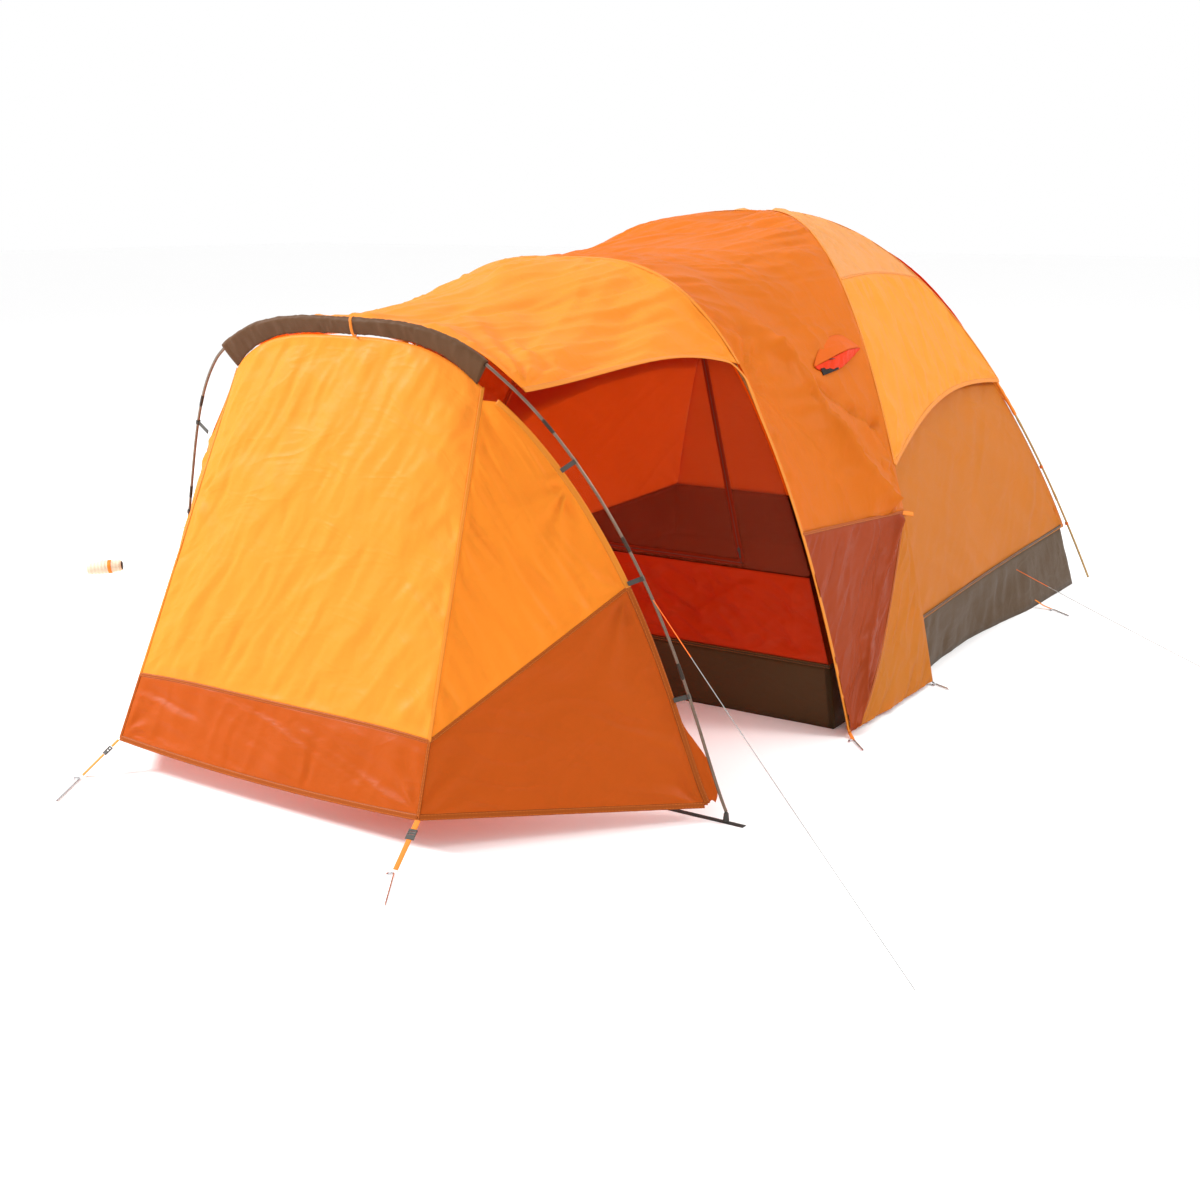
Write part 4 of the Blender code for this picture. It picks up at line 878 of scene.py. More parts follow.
# ---- fly over the cabin ----
cloth("dome_fly_front_cloth", dome_front, CABIN_INSIDE, dome_cloth, "dome_fly_front", offset=FLY_OFFSET,
      hole=VENT_HOLE, cell=0.016,
      folds=(
          creases(11, 62, 0.055, 0.42, 0.0050), creases(12, 20, 0.14, 0.9, 0.0060),
          pull(0.88, 0.0, 12, 0.0045, 0.30, 1), pull(0.12, 0.0, 12, 0.0045, 0.30, 2),
          pull(0.97, 1.0, 11, 0.0040, 0.34, 3), pull(0.03, 1.0, 11, 0.0040, 0.34, 4),
          ridge([(0.849, 0.28), (0.910, 0.44), (0.955, 0.61), (0.993, 0.84)], 0.034, 0.060, 1),
          ridge([(0.151, 0.28), (0.090, 0.44), (0.045, 0.61), (0.007, 0.84)], 0.034, 0.060, 2),
          ridge([(0.894, 0.50), (0.942, 0.92)], -0.012, 0.018, 3),
          ridge([(0.106, 0.50), (0.058, 0.92)], -0.012, 0.018, 4),
          ridge([(0.90, 0.40), (0.97, 0.86)], -0.008, 0.016, 5),
          ridge([(0.10, 0.40), (0.03, 0.86)], -0.008, 0.016, 6),
          pucker("top", 0.0035, 0.045, 0.09, 5), pucker("bottom", 0.0030, 0.050, 0.10, 6)))
for label, sign in SIDES:
    cloth(f"dome_fly_side_{label}_cloth", part_of(dome_side(sign), PALE_SHARE, 1.0), CABIN_INSIDE,
          side_fly_cloth, f"dome_fly_side_{label}", offset=FLY_OFFSET,
          folds=(
              creases(21, 112, 0.060, 0.24, 0.0046), pucker("bottom", 0.0050, 0.040, 0.12, 19),
              creases(22, 15, 0.16, 0.8, 0.0050),
              pull(0.0, 1.0, 12, 0.0045, 0.28, 7), pull(1.0, 1.0, 12, 0.0045, 0.28, 8),
              pucker("top", 0.0040, 0.035, 0.16, 13), ridge([(0.02, 0.3), (0.04, 0.95)], 0.008, 0.05, 12),
              pucker("left", 0.0035, 0.040, 0.08, 9), pucker("right", 0.0030, 0.045, 0.08, 10)))
    cloth(f"dome_fly_top_{label}_cloth", part_of(dome_side(sign), 0.0, PALE_SHARE), CABIN_INSIDE,
          pale_fly_cloth, offset=FLY_OFFSET, cell=0.011,
          folds=(
              creases(23, 60, 0.045, 0.20, 0.0042), creases(24, 110, 0.030, 0.10, 0.0030),
              pucker("bottom", 0.0040, 0.035, 0.20, 14), pucker("left", 0.0030, 0.040, 0.10, 15)))
    cloth(f"corner_fly_{label}_cloth", column(sign), CABIN_INSIDE, corner_cloth, f"corner_fly_{label}",
          offset=FLY_OFFSET,
          free=("left",), cell=0.010, folds=(
              creases(31, 118, 0.060, 0.26, 0.0046), creases(32, 150, 0.10, 0.35, 0.0040),
              ridge([(0.95, 0.02), (0.60, 0.45), (0.45, 0.95)], 0.016, 0.030, 5),
              pull(0.5, 1.0, 9, 0.0050, 0.30, 11)))
    cloth(f"corner_flap_{label}_cloth", flap(sign), CABIN_INSIDE, tan_cloth, f"corner_flap_{label}",
          offset=FLY_OFFSET,
          free=("bottom",), cell=0.010, folds=(
              creases(41, 114, 0.060, 0.30, 0.0044), creases(42, 92, 0.12, 0.50, 0.0040),
              pull(0.1, 0.0, 8, 0.0040, 0.25, 12)))
cloth("dome_fly_rear_cloth", dome_rear, CABIN_INSIDE, rear_fly_cloth, "dome_fly_rear", offset=FLY_OFFSET,
      folds=(
          creases(51, 80, 0.085, 0.40, 0.0050), creases(52, 10, 0.16, 0.8, 0.0050),
          pull(0.0, 1.0, 11, 0.0040, 0.28, 13), pull(1.0, 1.0, 11, 0.0040, 0.28, 14)))

# ---- cabin ----
# the left wall, like the rear wall, gets the tan cloth copy with painted extra glow
for label, sign in SIDES:
    cloth(f"cabin_wall_{label}_cloth", side_wall(sign), CABIN_INSIDE,
          tan_cloth if sign > 0 else tan_far_glow_cloth, f"cabin_wall_{label}",
          cell=0.016, folds=(
              creases(61, -36, 0.070, 0.60, 0.0022), creases(62, 30, 0.25, 0.9, 0.0050),
              pull(1.0, 1.0, 10, 0.0030, 0.35, 15), pull(0.0, 1.0, 10, 0.0025, 0.30, 16)))
cloth("cabin_wall_rear_cloth", rear_wall, CABIN_INSIDE, tan_far_glow_cloth, "cabin_wall_rear",
      cell=0.018, folds=(
          creases(71, 74, 0.070, 0.50, 0.0016), creases(72, 20, 0.20, 0.9, 0.0050)))


def make_floor():
    """The bathtub floor: a wrinkled wall all round and the ground sheet, as one closed shell."""
    low, high = tub_ring()
    count, rows, wall = 520, 10, 0.0025
    low, high = resample(low, count, True), resample(high, count, True)
    centre = np.array([0, (FLOOR_FRONT + FLOOR_REAR) / 2, 0])
    run = distances(low)
    x = np.tile(run, (rows + 1, 1))
    v = np.linspace(0, 1, rows + 1)[:, None]
    p = mix(low[None], high[None], np.broadcast_to(v, x.shape))
    y = v * 0.29 + 0 * x
    out = unit(p - centre) * np.array([1, 1, 0])
    out = unit(out)
    depth = creases(81, 62, 0.055, 0.22, 0.0050)(x, y, None) + creases(82, 12, 0.09, 0.5, 0.0040)(x, y, None)
    depth += 0.006 * noise(x / 0.11, y / 0.5, 83) * (1 - v) ** 2
    depth *= smooth((1 - v) / 0.25) * (0.35 + 0.65 * smooth(v / 0.2))
    between = np.clip((p[..., 1] + 0.70) / 1.50, 0, 1)
    drawn = 0.048 * np.sin(np.pi * between) * (1 - v) ** 1.4
    depth -= drawn * (np.abs(out[..., 0]) > 0.6) * (np.abs(p[..., 0]) > 1.0)
    outer = p + out * depth[..., None]
    outer[0, :, 2] = 0.0
    inner = outer - out * wall
    inner[0, :, 2] = wall
    points = np.concatenate([outer.reshape(-1, 3), inner[::-1].reshape(-1, 3)])
    uvs = np.concatenate([np.stack([x, y], -1).reshape(-1, 2), np.stack([x, y], -1)[::-1].reshape(-1, 2)])
    total = 2 * (rows + 1)
    faces = []
    for r in range(total - 1):
        for i in range(count):
            j = (i + 1) % count
            faces.append((r * count + i, r * count + j, (r + 1) * count + j, (r + 1) * count + i))
    faces.append(tuple(reversed(range(count))))
    faces.append(tuple(range((total - 1) * count, total * count)))
    obj = new_object("bathtub_floor_cloth", points, outward(points, faces), uvs, floor_cloth)
    finish_piece(obj, "tent", "bathtub_floor")
    return high


tub_top = make_floor()

# ---- cabin front: netting wall, zipped netting door and solid lower panel ----


def wall_half(z):
    return FOOT_HALF * (1 - np.asarray(z) / BROW_TOP) ** (1 / BROW_EXP) - 0.030


door_low_z = LOW_PANEL_TOP + 0.025
door_corners = np.array([(DOOR_LOW, WALL_Y, door_low_z), (DOOR_HIGH, WALL_Y, DOOR_TOP),
                         (-DOOR_HIGH, WALL_Y, DOOR_TOP), (-DOOR_LOW, WALL_Y, door_low_z)])
wall_z = np.concatenate([np.linspace(LOW_PANEL_TOP + 0.004, DOOR_TOP, 12), np.linspace(1.48, 1.70, 6)])
right_side = point(wall_half(wall_z), WALL_Y, wall_z)
left_side = right_side[::-1] * np.array([-1, 1, 1])
# both loops start at the middle of their lower edge, so that they run side by side
outer_loop = np.concatenate([[(0, WALL_Y, wall_z[0])], right_side, left_side])
inner_loop = np.concatenate([[(0, WALL_Y, door_low_z)], door_corners])


def loop_at(loop, marks):
    """A closed loop resampled so that its marked corners fall at the same shares as another's."""
    loop = np.concatenate([loop, loop[:1]])
    run = distances(loop)
    knots = run[marks]
    def place(share):
        at = np.interp(share, np.linspace(0, 1, len(marks)), knots)
        return np.stack([np.interp(at, run, loop[:, k]) for k in range(3)], -1)
    return place


outer_at = loop_at(outer_loop, [0, 1, 13, 24, 36, 37])
inner_at = loop_at(inner_loop, [0, 1, 2, 3, 4, 5])


def netting_wall(u, v):
    return mix(outer_at(u), inner_at(u), v)


def netting_door(u, v):
    low = mix(door_corners[3] + [DOOR_GAP, 0, DOOR_GAP], door_corners[0] + [-DOOR_GAP, 0, DOOR_GAP], u)
    high = mix(door_corners[2] + [DOOR_GAP, 0, -DOOR_GAP], door_corners[1] + [-DOOR_GAP, 0, -DOOR_GAP], u)
    return mix(high, low, v)


def low_panel(u, v):
    low_z = TUB_FRONT + 0.006
    z = LOW_PANEL_TOP + (low_z - LOW_PANEL_TOP) * v
    half = mix(np.array([wall_half(LOW_PANEL_TOP) - 0.006]), np.array([wall_half(low_z) - 0.012]), v)[..., 0]
    return point(half * (2 * u - 1), WALL_Y + 0 * u, z)


cloth("cabin_front_wall_cloth", netting_wall, CABIN_INSIDE, insect_mesh, "cabin_front_wall", cell=0.022,
      wrap=True, trim=0.0, folds=(
          creases(91, 40, 0.10, 0.4, 0.0020),))
cloth("cabin_door_cloth", netting_door, CABIN_INSIDE, insect_mesh, "cabin_door", body="cabin_door",
      cell=0.022, folds=(
          creases(92, 60, 0.12, 0.5, 0.0035),))
cloth("cabin_front_panel_cloth", low_panel, CABIN_INSIDE, lining_cloth, "cabin_front_panel", cell=0.011,
      folds=(
          creases(93, 28, 0.050, 0.20, 0.0075), creases(94, -35, 0.07, 0.3, 0.0050),
          creases(95, 80, 0.16, 0.3, 0.0050)))


# tapes round the doorway, on the front of its netting
for start, end, name, width in ((0, 1, "zip_flap_right", 0.026), (3, 2, "zip_flap_left", 0.022),
                                (3, 0, "zip_flap_low", 0.022), (2, 1, "door_head_tape", 0.018)):
    path = resample(np.array([door_corners[start], door_corners[end]]), 60) + np.array([0, -0.0022, 0])
    strip(name, path, np.array([0.0, -1.0, 0.0]), width, 0.0012, zip_tape, body="tent")

# ---- vestibule ----
cloth("vestibule_front_cloth", front_face(0, BAND_SHARE), VESTIBULE_INSIDE, front_cloth, "vestibule_front",
      cell=0.0115, folds=(
          creases(101, 116, 0.060, 0.30, 0.0026), creases(102, 128, 0.20, 0.7, 0.0042),
          creases(103, 108, 0.035, 0.16, 0.0012), pucker("right", 0.0050, 0.050, 0.11, 17),
          pucker("left", 0.0034, 0.060, 0.08, 18), pucker("top", 0.0030, 0.050, 0.09, 19),
          pucker("bottom", 0.0028, 0.055, 0.05, 20), pull(0.0, 0.42, 7, 0.0025, 0.28, 21)))
cloth("vestibule_front_band_cloth", front_face(BAND_SHARE, 1), VESTIBULE_INSIDE, burnt_cloth,
      "vestibule_front_band", cell=0.011, folds=(
          creases(111, 14, 0.050, 0.50, 0.0036), creases(112, 100, 0.09, 0.30, 0.0030),
          pull(0.0, 1.0, 8, 0.0035, 0.20, 22), pull(1.0, 1.0, 8, 0.0035, 0.20, 23)))
for label, sign in SIDES:
    cloth(f"vestibule_side_{label}_cloth", side_face(sign, False), VESTIBULE_INSIDE, vestibule_cloth,
          f"vestibule_side_{label}", cell=0.010, folds=(
              creases(121, 64, 0.045, 0.40, 0.0040), creases(122, 50, 0.13, 0.8, 0.0055),
              pull(1.0, 0.55, 9, 0.0040, 0.22, 24), pull(1.0, 1.0, 9, 0.0040, 0.22, 25)))
    cloth(f"vestibule_side_band_{label}_cloth", side_face(sign, True), VESTIBULE_INSIDE, burnt_cloth,
          f"vestibule_side_band_{label}", cell=0.010,
          folds=(creases(131, 38, 0.060, 0.40, 0.0040), pull(1.0, 0.0, 9, 0.0035, 0.22, 26),
                 pull(1.0, 1.0, 9, 0.0045, 0.26, 27), pull(0.0, 1.0, 8, 0.0035, 0.20, 28)))
cloth("vestibule_roof_cloth", roof, VESTIBULE_INSIDE, roof_cloth, "vestibule_roof", offset=FLY_OFFSET,
      cell=0.0135, folds=(
          creases(141, 78, 0.050, 0.46, 0.0050), creases(142, 105, 0.15, 0.8, 0.0075),
          pull(1.0, 0.0, 15, 0.0060, 0.40, 29), pull(0.0, 0.0, 15, 0.0060, 0.40, 30),
          pull(1.0, 1.0, 11, 0.0050, 0.36, 31), pull(0.0, 1.0, 11, 0.0050, 0.36, 32),
          pucker("top", 0.0040, 0.050, 0.12, 33), pucker("bottom", 0.0035, 0.050, 0.10, 34)))
cloth("vestibule_door_left_cloth", left_door, VESTIBULE_INSIDE, vestibule_cloth, "vestibule_door_left",
      cell=0.014, folds=(
          creases(151, 76, 0.055, 0.45, 0.0050), creases(152, 40, 0.16, 0.8, 0.0060),
          pull(0.0, 1.0, 9, 0.0045, 0.30, 35), pull(1.0, 1.0, 9, 0.0045, 0.30, 36)))


def make_sleeve():
    """The brown pole sleeve: round over the pole, hanging to a pointed lower edge at each end."""
    ts = np.linspace(-SLEEVE_T, SLEEVE_T, 190)
    path = hoop(ts)
    tangent = unit(np.gradient(path, axis=0))
    lean = unit(np.array([0, HOOP_LEAN, -HOOP_TOP]))
    down = unit(lean - tangent * (tangent @ lean)[:, None])
    side = np.cross(tangent, down)
    depth = sleeve_depth(ts)
    turn = np.linspace(0, 2 * np.pi, 28, endpoint=False)
    run = distances(path)
    ripple = 0.0016 * noise(run[:, None] / 0.035, turn[None, :] * 0.9, 161)
    ripple += 0.0012 * noise(run[:, None] / 0.012, turn[None, :] * 1.5, 162)
    c, s = np.cos(turn)[None, :], np.sin(turn)[None, :]
    reach = np.where(c < 0, SLEEVE_R * 1.35, depth[:, None]) + ripple
    narrow = 1.35 - 0.75 * np.maximum(c, 0)
    skin = path[:, None] + down[:, None] * (c * reach)[..., None] \
        + side[:, None] * (s * (SLEEVE_R * narrow + ripple))[..., None]
    around = down[:, None] * c[..., None] + side[:, None] * s[..., None]
    core = path[:, None] + around * (SLEEVE_R - 0.0012)
    n, k = len(ts), len(turn)
    points = np.concatenate([skin.reshape(-1, 3), core.reshape(-1, 3)])
    uv = np.stack(np.broadcast_arrays(run[:, None], turn[None, :] * 0.02), -1).reshape(-1, 2)
    faces = []
    for r in range(n - 1):
        for i in range(k):
            j = (i + 1) % k
            faces.append((r * k + i, r * k + j, (r + 1) * k + j, (r + 1) * k + i))
            b = n * k
            faces.append((b + r * k + j, b + r * k + i, b + (r + 1) * k + i, b + (r + 1) * k + j))
    for r, turned in ((0, True), (n - 1, False)):
        for i in range(k):
            j = (i + 1) % k
            face = (r * k + i, n * k + r * k + i, n * k + r * k + j, r * k + j)
            faces.append(face if turned else tuple(reversed(face)))
    faces = outward(points, faces)
    obj = new_object("hoop_sleeve_cloth", points, faces, np.concatenate([uv, uv]), sleeve_cloth)
    finish_piece(obj, "tent", "hoop_sleeve")


make_sleeve()

# ---- seams, hems and bindings ----
SEAM_LINES = []


def seam(name, line, width=0.014, height=0.0016, finish=seam_cloth, lift=0.0006):
    path, out = line
    path, out = resample(path, max(len(path), 60)), resample(out, max(len(path), 60))
    strip(name, path + out * lift, out, width, height, finish)
    side = unit(np.cross(unit(np.gradient(path, axis=0)), out))
    for shift in (-0.30, 0.30):
        SEAM_LINES.append(path + out * (lift + height * 0.92) + side * (width * shift))


for label, sign in SIDES:
    u = 1.0 if sign > 0 else 0.0
    seam(f"front_seam_{label}", edge(front_face(0, BAND_SHARE), VESTIBULE_INSIDE, u=u), 0.012)
    seam(f"front_seam_low_{label}", edge(front_face(BAND_SHARE, 1), VESTIBULE_INSIDE, u=u), 0.012,
         finish=burnt_seam)
    seam(f"side_band_seam_{label}", edge(side_face(sign, True), VESTIBULE_INSIDE, v=0.0), 0.012,
         finish=burnt_seam)
    seam(f"side_hem_{label}", edge(side_face(sign, True), VESTIBULE_INSIDE, v=1.0, span=(0, 0.985)), 0.020,
         finish=burnt_seam)
    seam(f"side_edge_hem_{label}", edge(side_face(sign, False), VESTIBULE_INSIDE, u=1.0), 0.020)
    seam(f"side_edge_hem_low_{label}",
         edge(side_face(sign, True), VESTIBULE_INSIDE, u=1.0, span=(0, 0.99)), 0.020, finish=burnt_seam)
    seam(f"dome_seam_{label}", edge(dome_side(sign), CABIN_INSIDE, u=0.0, offset=FLY_OFFSET), 0.018)
    seam(f"rear_seam_{label}", edge(dome_side(sign), CABIN_INSIDE, u=1.0, offset=FLY_OFFSET), 0.018)
    seam(f"arch_hem_{label}", edge(dome_side(sign), CABIN_INSIDE, v=1.0, offset=FLY_OFFSET), 0.022)
    seam(f"corner_seam_{label}", edge(column(sign), CABIN_INSIDE, v=0.0, offset=FLY_OFFSET), 0.014,
         finish=burnt_seam)
    seam(f"flap_seam_{label}",
         edge(column(sign), CABIN_INSIDE, u=1.0, offset=FLY_OFFSET, span=(0, 0.97)), 0.012, finish=burnt_seam)
seam("band_seam", edge(front_face(BAND_SHARE, 1), VESTIBULE_INSIDE, v=0.0), 0.012, finish=burnt_seam)
seam("front_hem", edge(front_face(0, 1), VESTIBULE_INSIDE, v=1.0), 0.020, finish=burnt_seam)
seam("rear_hem", edge(dome_rear, CABIN_INSIDE, v=1.0, offset=FLY_OFFSET), 0.022)
seam("brow_seam", edge(roof, VESTIBULE_INSIDE, v=1.0, offset=FLY_OFFSET, count=200), 0.016)
for label, sign in SIDES:
    seam(f"fly_cross_seam_{label}", edge(dome_side(sign), CABIN_INSIDE, v=PALE_SHARE, offset=FLY_OFFSET,
                                         span=(0.01, 0.99)), 0.012)
# the doorway binding runs from the hoop along the roof edge and down the brow line to the ground
for label, u_roof, sign in (("right", 1.0, 1), ("left", 0.0, -1)):
    a, an = edge(roof, VESTIBULE_INSIDE, u=u_roof, offset=FLY_OFFSET, span=(0.0, 0.97))
    b, bn = edge(dome_front, CABIN_INSIDE, v=0.0, offset=FLY_OFFSET,
                 span=(0.5 + 0.5 * ROOF_BROW_T / COLUMN_T_FRONT + 0.012, 0.998), count=90) if sign > 0 else \
        edge(dome_front, CABIN_INSIDE, v=0.0, offset=FLY_OFFSET,
             span=(0.5 - 0.5 * ROOF_BROW_T / COLUMN_T_FRONT - 0.012, 0.002), count=90)
    c, cn = edge(column(sign), CABIN_INSIDE, u=0.0, offset=FLY_OFFSET, span=(0.02, 0.97), count=80)
    path, out = np.concatenate([a, b, c]), np.concatenate([an, bn, cn])
    # ease the corner where the roof meets the brow
    for _ in range(14):
        path[1:-1] = 0.25 * path[:-2] + 0.5 * path[1:-1] + 0.25 * path[2:]
        out[1:-1] = unit(0.25 * out[:-2] + 0.5 * out[1:-1] + 0.25 * out[2:])
    seam(f"doorway_binding_{label}", (path, out), 0.022, 0.0018)
ring = np.concatenate([tub_top, tub_top[:1]])
ring_out = unit((ring - np.array([0, 0, 0.3])) * np.array([1, 1, 0]))
seam("floor_seam", (ring, ring_out), 0.016, finish=brown_seam, lift=0.0065)

# ---- poles, in sections joined by ferrules ----


def foot_t(curve):
    ts = np.linspace(0.9, 1.0, 2001)
    return float(ts[np.argmin(np.abs(curve(ts)[:, 2] - TIP_Z))])


def pole(name, curve, t0, t1, finish):
    path = even(curve, t0, t1, 260)
    tube(f"{name}_tube", path, POLE_R, finish, replaces=name, sides=16)
    run = distances(path)
    swell = POLE_R + 0.0009 * np.array([0.3, 0.9, 1, 1, 1, 1, 1, 0.9, 0.3])
    joint_finish = ferrule_finish if finish is pole_finish else finish
    for k, at in enumerate(np.arange(POLE_SECTION, run[-1] - 0.15, POLE_SECTION)):
        ring = at_distances(path, run, at + np.linspace(-FERRULE_HALF, FERRULE_HALF, 9))
        tube(f"{name}_ferrule_{k + 1}", ring, swell, joint_finish, sides=16)


def dome_line(sign, dip):
    def line(t):
        t = np.asarray(t, float)
        p = np.where((t * sign > 0)[..., None], front_arm(t), rear_arm(t))
        p[..., 2] -= dip * np.exp(-(t / 0.22) ** 2)
        return p
    return line


end = foot_t(hoop)
pole("hoop_pole", hoop, -end, end, pole_finish)
end = foot_t(brow)
pole("brow_pole", brow, -end, end, gold_pole_finish)
pole("dome_pole_a", dome_line(1, 0.0), foot_t(front_arm), -foot_t(rear_arm), gold_pole_finish)
pole("dome_pole_b", dome_line(-1, 2 * POLE_R + 0.0009), -foot_t(front_arm), foot_t(rear_arm),
     gold_pole_finish)
# short cloth sleeves that hold the rear arms below the fly
for label, sign in SIDES:
    path = even(lambda t: rear_arm(sign * t), 0.668, 0.735, 40)
    grip = 0.0085 + 0.0012 * np.sin(np.linspace(0, 23, 40)) * np.linspace(1, 0.3, 40)
    tube(f"rear_arm_sleeve_{label}", path, grip, orange_webbing)
    # and the web of cloth from that sleeve to the cabin wall
    toward = np.array([-sign * 1.0, -0.75, 0.0]) / 1.25
    web = lambda u, v: mix(rear_arm(sign * 0.668), rear_arm(sign * 0.728), v) \
        + toward * (u * 0.022 * (1 - 0.7 * v))[..., None]
    cloth(f"rear_arm_web_{label}", web, CABIN_INSIDE, side_fly_cloth, cell=0.006, trim=0.0)

# ---- vents ----
def on_fly(u, v, lift):
    """A point on the front of the fly, lifted off it."""
    e = 1e-3
    across = dome_front(u + e, v) - dome_front(u - e, v)
    n = unit(np.cross(across, dome_front(u, v + e) - dome_front(u, v - e)))
    n = n * np.sign(n[..., 2:3])
    return dome_front(u, v) + n * np.asarray(FLY_OFFSET + lift)[..., None]


def vent_lip(s):
    """The free edge of the hood, held out by its strut."""
    arch = np.clip(np.minimum(s / 0.56, (1 - s) / 0.44), 0, 1) ** 0.85
    return on_fly(0.8782 - 0.002 * arch, 0.54 + 0.42 * s, 0.004 + 0.040 * arch)


def hood(u, v):
    back = on_fly(0.8782 - 0.022 * np.sin(np.pi * u) ** 0.8, 0.54 + 0.42 * u, 0.003 + 0 * u)
    return mix(back, vent_lip(u), v)


def vent_mouth(u, v):
    foot = on_fly(0.8786 + 0.0105 * np.sin(np.pi * np.clip(u, 0, 1) ** 0.7), 0.545 + 0.41 * u, 0.003 + 0 * u)
    return mix(vent_lip(0.01 + 0.98 * u) - np.array([0, 0, 0.002]), foot, v)


def vent_gap(u, v):
    return on_fly(0.8822 + 0.0070 * v, 0.575 + 0.14 * u, 0.0085 + 0 * v)


cloth("vent_hood_cloth", hood, CABIN_INSIDE, vent_top_cloth, "vent_hood", body="vent_hood", cell=0.007,
      free=("bottom",),
      folds=(creases(171, 30, 0.03, 0.09, 0.0010),))
mouth = cloth("vent_mouth_cloth", vent_mouth, CABIN_INSIDE, vent_cloth, body=None, cell=0.006,
              free=("bottom", "top"),
              folds=(creases(173, 70, 0.02, 0.05, 0.0014),))
tuple(map(float, vent_lip(np.array(0.5))))
tuple(map(float, vent_mouth(np.array(0.5), np.array(1.0))))
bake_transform(mouth)
# a near-black sheet in the gap beside the hood: painted shade of the vent opening
cloth("vent_gap_shade_sheet", vent_gap, CABIN_INSIDE, vent_shade_black, cell=0.006)


def rear_vent(u, v):
    t = 0.34 + (REAR_FLY_T - 0.05 - 0.34) * v
    p = rear_arm(t)
    return point(p[..., 0] - 0.30 + 0.30 * u,
                 p[..., 1] + 0.020 + 0.050 * u * np.sin(np.pi * np.minimum(v + 0.1, 1.0)), p[..., 2] + 0.012)


cloth("rear_vent_flap_cloth", rear_vent, CABIN_INSIDE, vent_cloth, "rear_vent_flap", body="rear_vent_flap",
      cell=0.008, free=("right", "bottom"),
      folds=(creases(172, 60, 0.05, 0.2, 0.0020),))

# ---- carried-over hardware gets its finish ----
for node, finish in (("hoop_foot_right", plastic_finish), ("hoop_foot_left", plastic_finish),
                     ("ladder_lock_right", plastic_finish), ("ladder_lock_left", plastic_finish),
                     ("corner_clip_1", clip_finish), ("corner_clip_2", clip_finish),
                     ("vent_strut", plastic_finish), ("door_zip_slider", plastic_finish)) + tuple(
        (f"hoop_clip_{s}_{k}", plastic_finish) for s in ("right", "left") for k in (1, 2, 3)) + tuple(
        (n, steel_finish) for n in ("front_peg_right", "front_peg_left", "corner_peg_right",
                                    "floor_peg_front_right", "floor_peg_side_right")):
    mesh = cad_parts[node].data
    mesh.materials.clear()
    mesh.materials.append(finish)


def tape_from_node(name, node, ends, width, finish, out, body="tent"):
    """A woven tape along the line its CAD solid holds."""
    path = resample(np.array(ends), 40)
    strip(name, path, out, width, 0.0009, finish, body=body, replaces=node, below=0.0007)


ground = {"right": (0.729, -3.499, 0.004), "left": (-0.754, -3.482, 0.004)}
for label, sign in SIDES:
    corner = hem(float(sign)) + np.array([sign * 0.004, -0.006, -0.006])
    down = unit(np.array(ground[label]) - corner)
    across = unit(np.cross(down, (0, 0, 1)))
    out = unit(np.cross(across, down))
    out = out if out[1] < 0 else -out
    top = corner + down * 0.035
    tape_from_node(f"corner_tab_{label}_tape", f"corner_tab_{label}", [corner, top - down * 0.0015], 0.020,
                   orange_webbing, out)
    tape_from_node(f"corner_strap_{label}_tape", f"corner_strap_{label}",
                   [top + down * 0.0366, np.array(ground[label]) - down * 0.004], 0.018, orange_webbing, out)
strap = resample(np.array([(-HOOP_HALF - 0.045, HOOP_Y, 0.0007), (HOOP_HALF + 0.045, HOOP_Y, 0.0007)]), 200)
strip("ground_strap_tape", strap, np.array([0, 0, 1.0]), 0.025, 0.0008, dark_webbing, replaces="ground_strap",
      below=0.0006)

# webbing loops from the cloth down to the pegs
for label, body, start, peg in (
        ("corner", "corner_peg", (1.318, -1.520, 0.030), (1.371, -1.581, 0.0035)),
        ("floor_front", "floor_peg_front", (1.262, -0.738, 0.075), (1.350, -0.716, 0.0035)),
        ("floor_side", "floor_peg_side", (1.256, 0.835, 0.040), (1.349, 0.836, 0.0035))):
    a, b = np.array(start), np.array(peg)
    line = resample(np.array([a, mix(a, b, 0.5) + [0, 0, -0.006], b]), 24)
    out = unit(np.array([b[0] - a[0], b[1] - a[1], 0.0]) + [0, 0, 0.6])
    loop = strip(f"{label}_loop", line, out, 0.014, 0.0010,
                 dark_webbing if label == "floor_front" else orange_webbing, body=None)
    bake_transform(loop)
for label, sign in SIDES:
    tip = leg_surface(sign, np.array(COLUMN_T_REAR), np.array(1.0)) + np.array([sign * 0.012, 0, 0.004])
    line = resample(np.array([tip + [0, -0.02, 0.0], tip + [sign * 0.030, 0.035, -0.012]]), 12)
    strip(f"column_tab_{label}", line, np.array([sign * 0.9, -0.2, 0.4]), 0.018, 0.0010, orange_webbing)


def skirt(sign):
    """The spare cloth of the side panel, folded back round the hoop leg."""
    def surface(u, v):
        p = side_edge(SKIRT_T0 + (SKIRT_T1 - SKIRT_T0) * v)
        reach = SKIRT_REACH * np.sin(np.pi * (0.10 + 0.78 * v)) ** 1.3 * (0.35 + v)
        p[..., 0] += 0.55 * reach * u
        p[..., 1] += 0.75 * reach * u + 0.006
        p[..., 2] = np.maximum(p[..., 2] + 0.010 * np.sin(np.pi * u), 0.012)
        p[..., 0] *= sign
        return p
    return surface


for label, sign in SIDES:
    cloth(f"side_skirt_{label}_cloth", skirt(sign), VESTIBULE_INSIDE, burnt_cloth, cell=0.006, trim=0.0,
          free=("right", "bottom"),
          folds=(creases(181, 80, 0.03, 0.16, 0.0030),))

# orange loop over the sleeve at its middle
loop_t = 0.030
turn = np.linspace(0, 2 * np.pi, 60)
top = hoop(loop_t)
loop_path = top + np.stack([0.010 * np.sin(turn * 0.5), np.sin(turn) * 0.0175,
                            np.where(np.cos(turn) > 0, 0.0165, 0.050) * np.cos(turn)], -1)
strip("sleeve_loop", loop_path[2:-2], unit(loop_path[2:-2] - top), 0.010, 0.0010, orange_webbing)

# ---- stitching along every seam ----


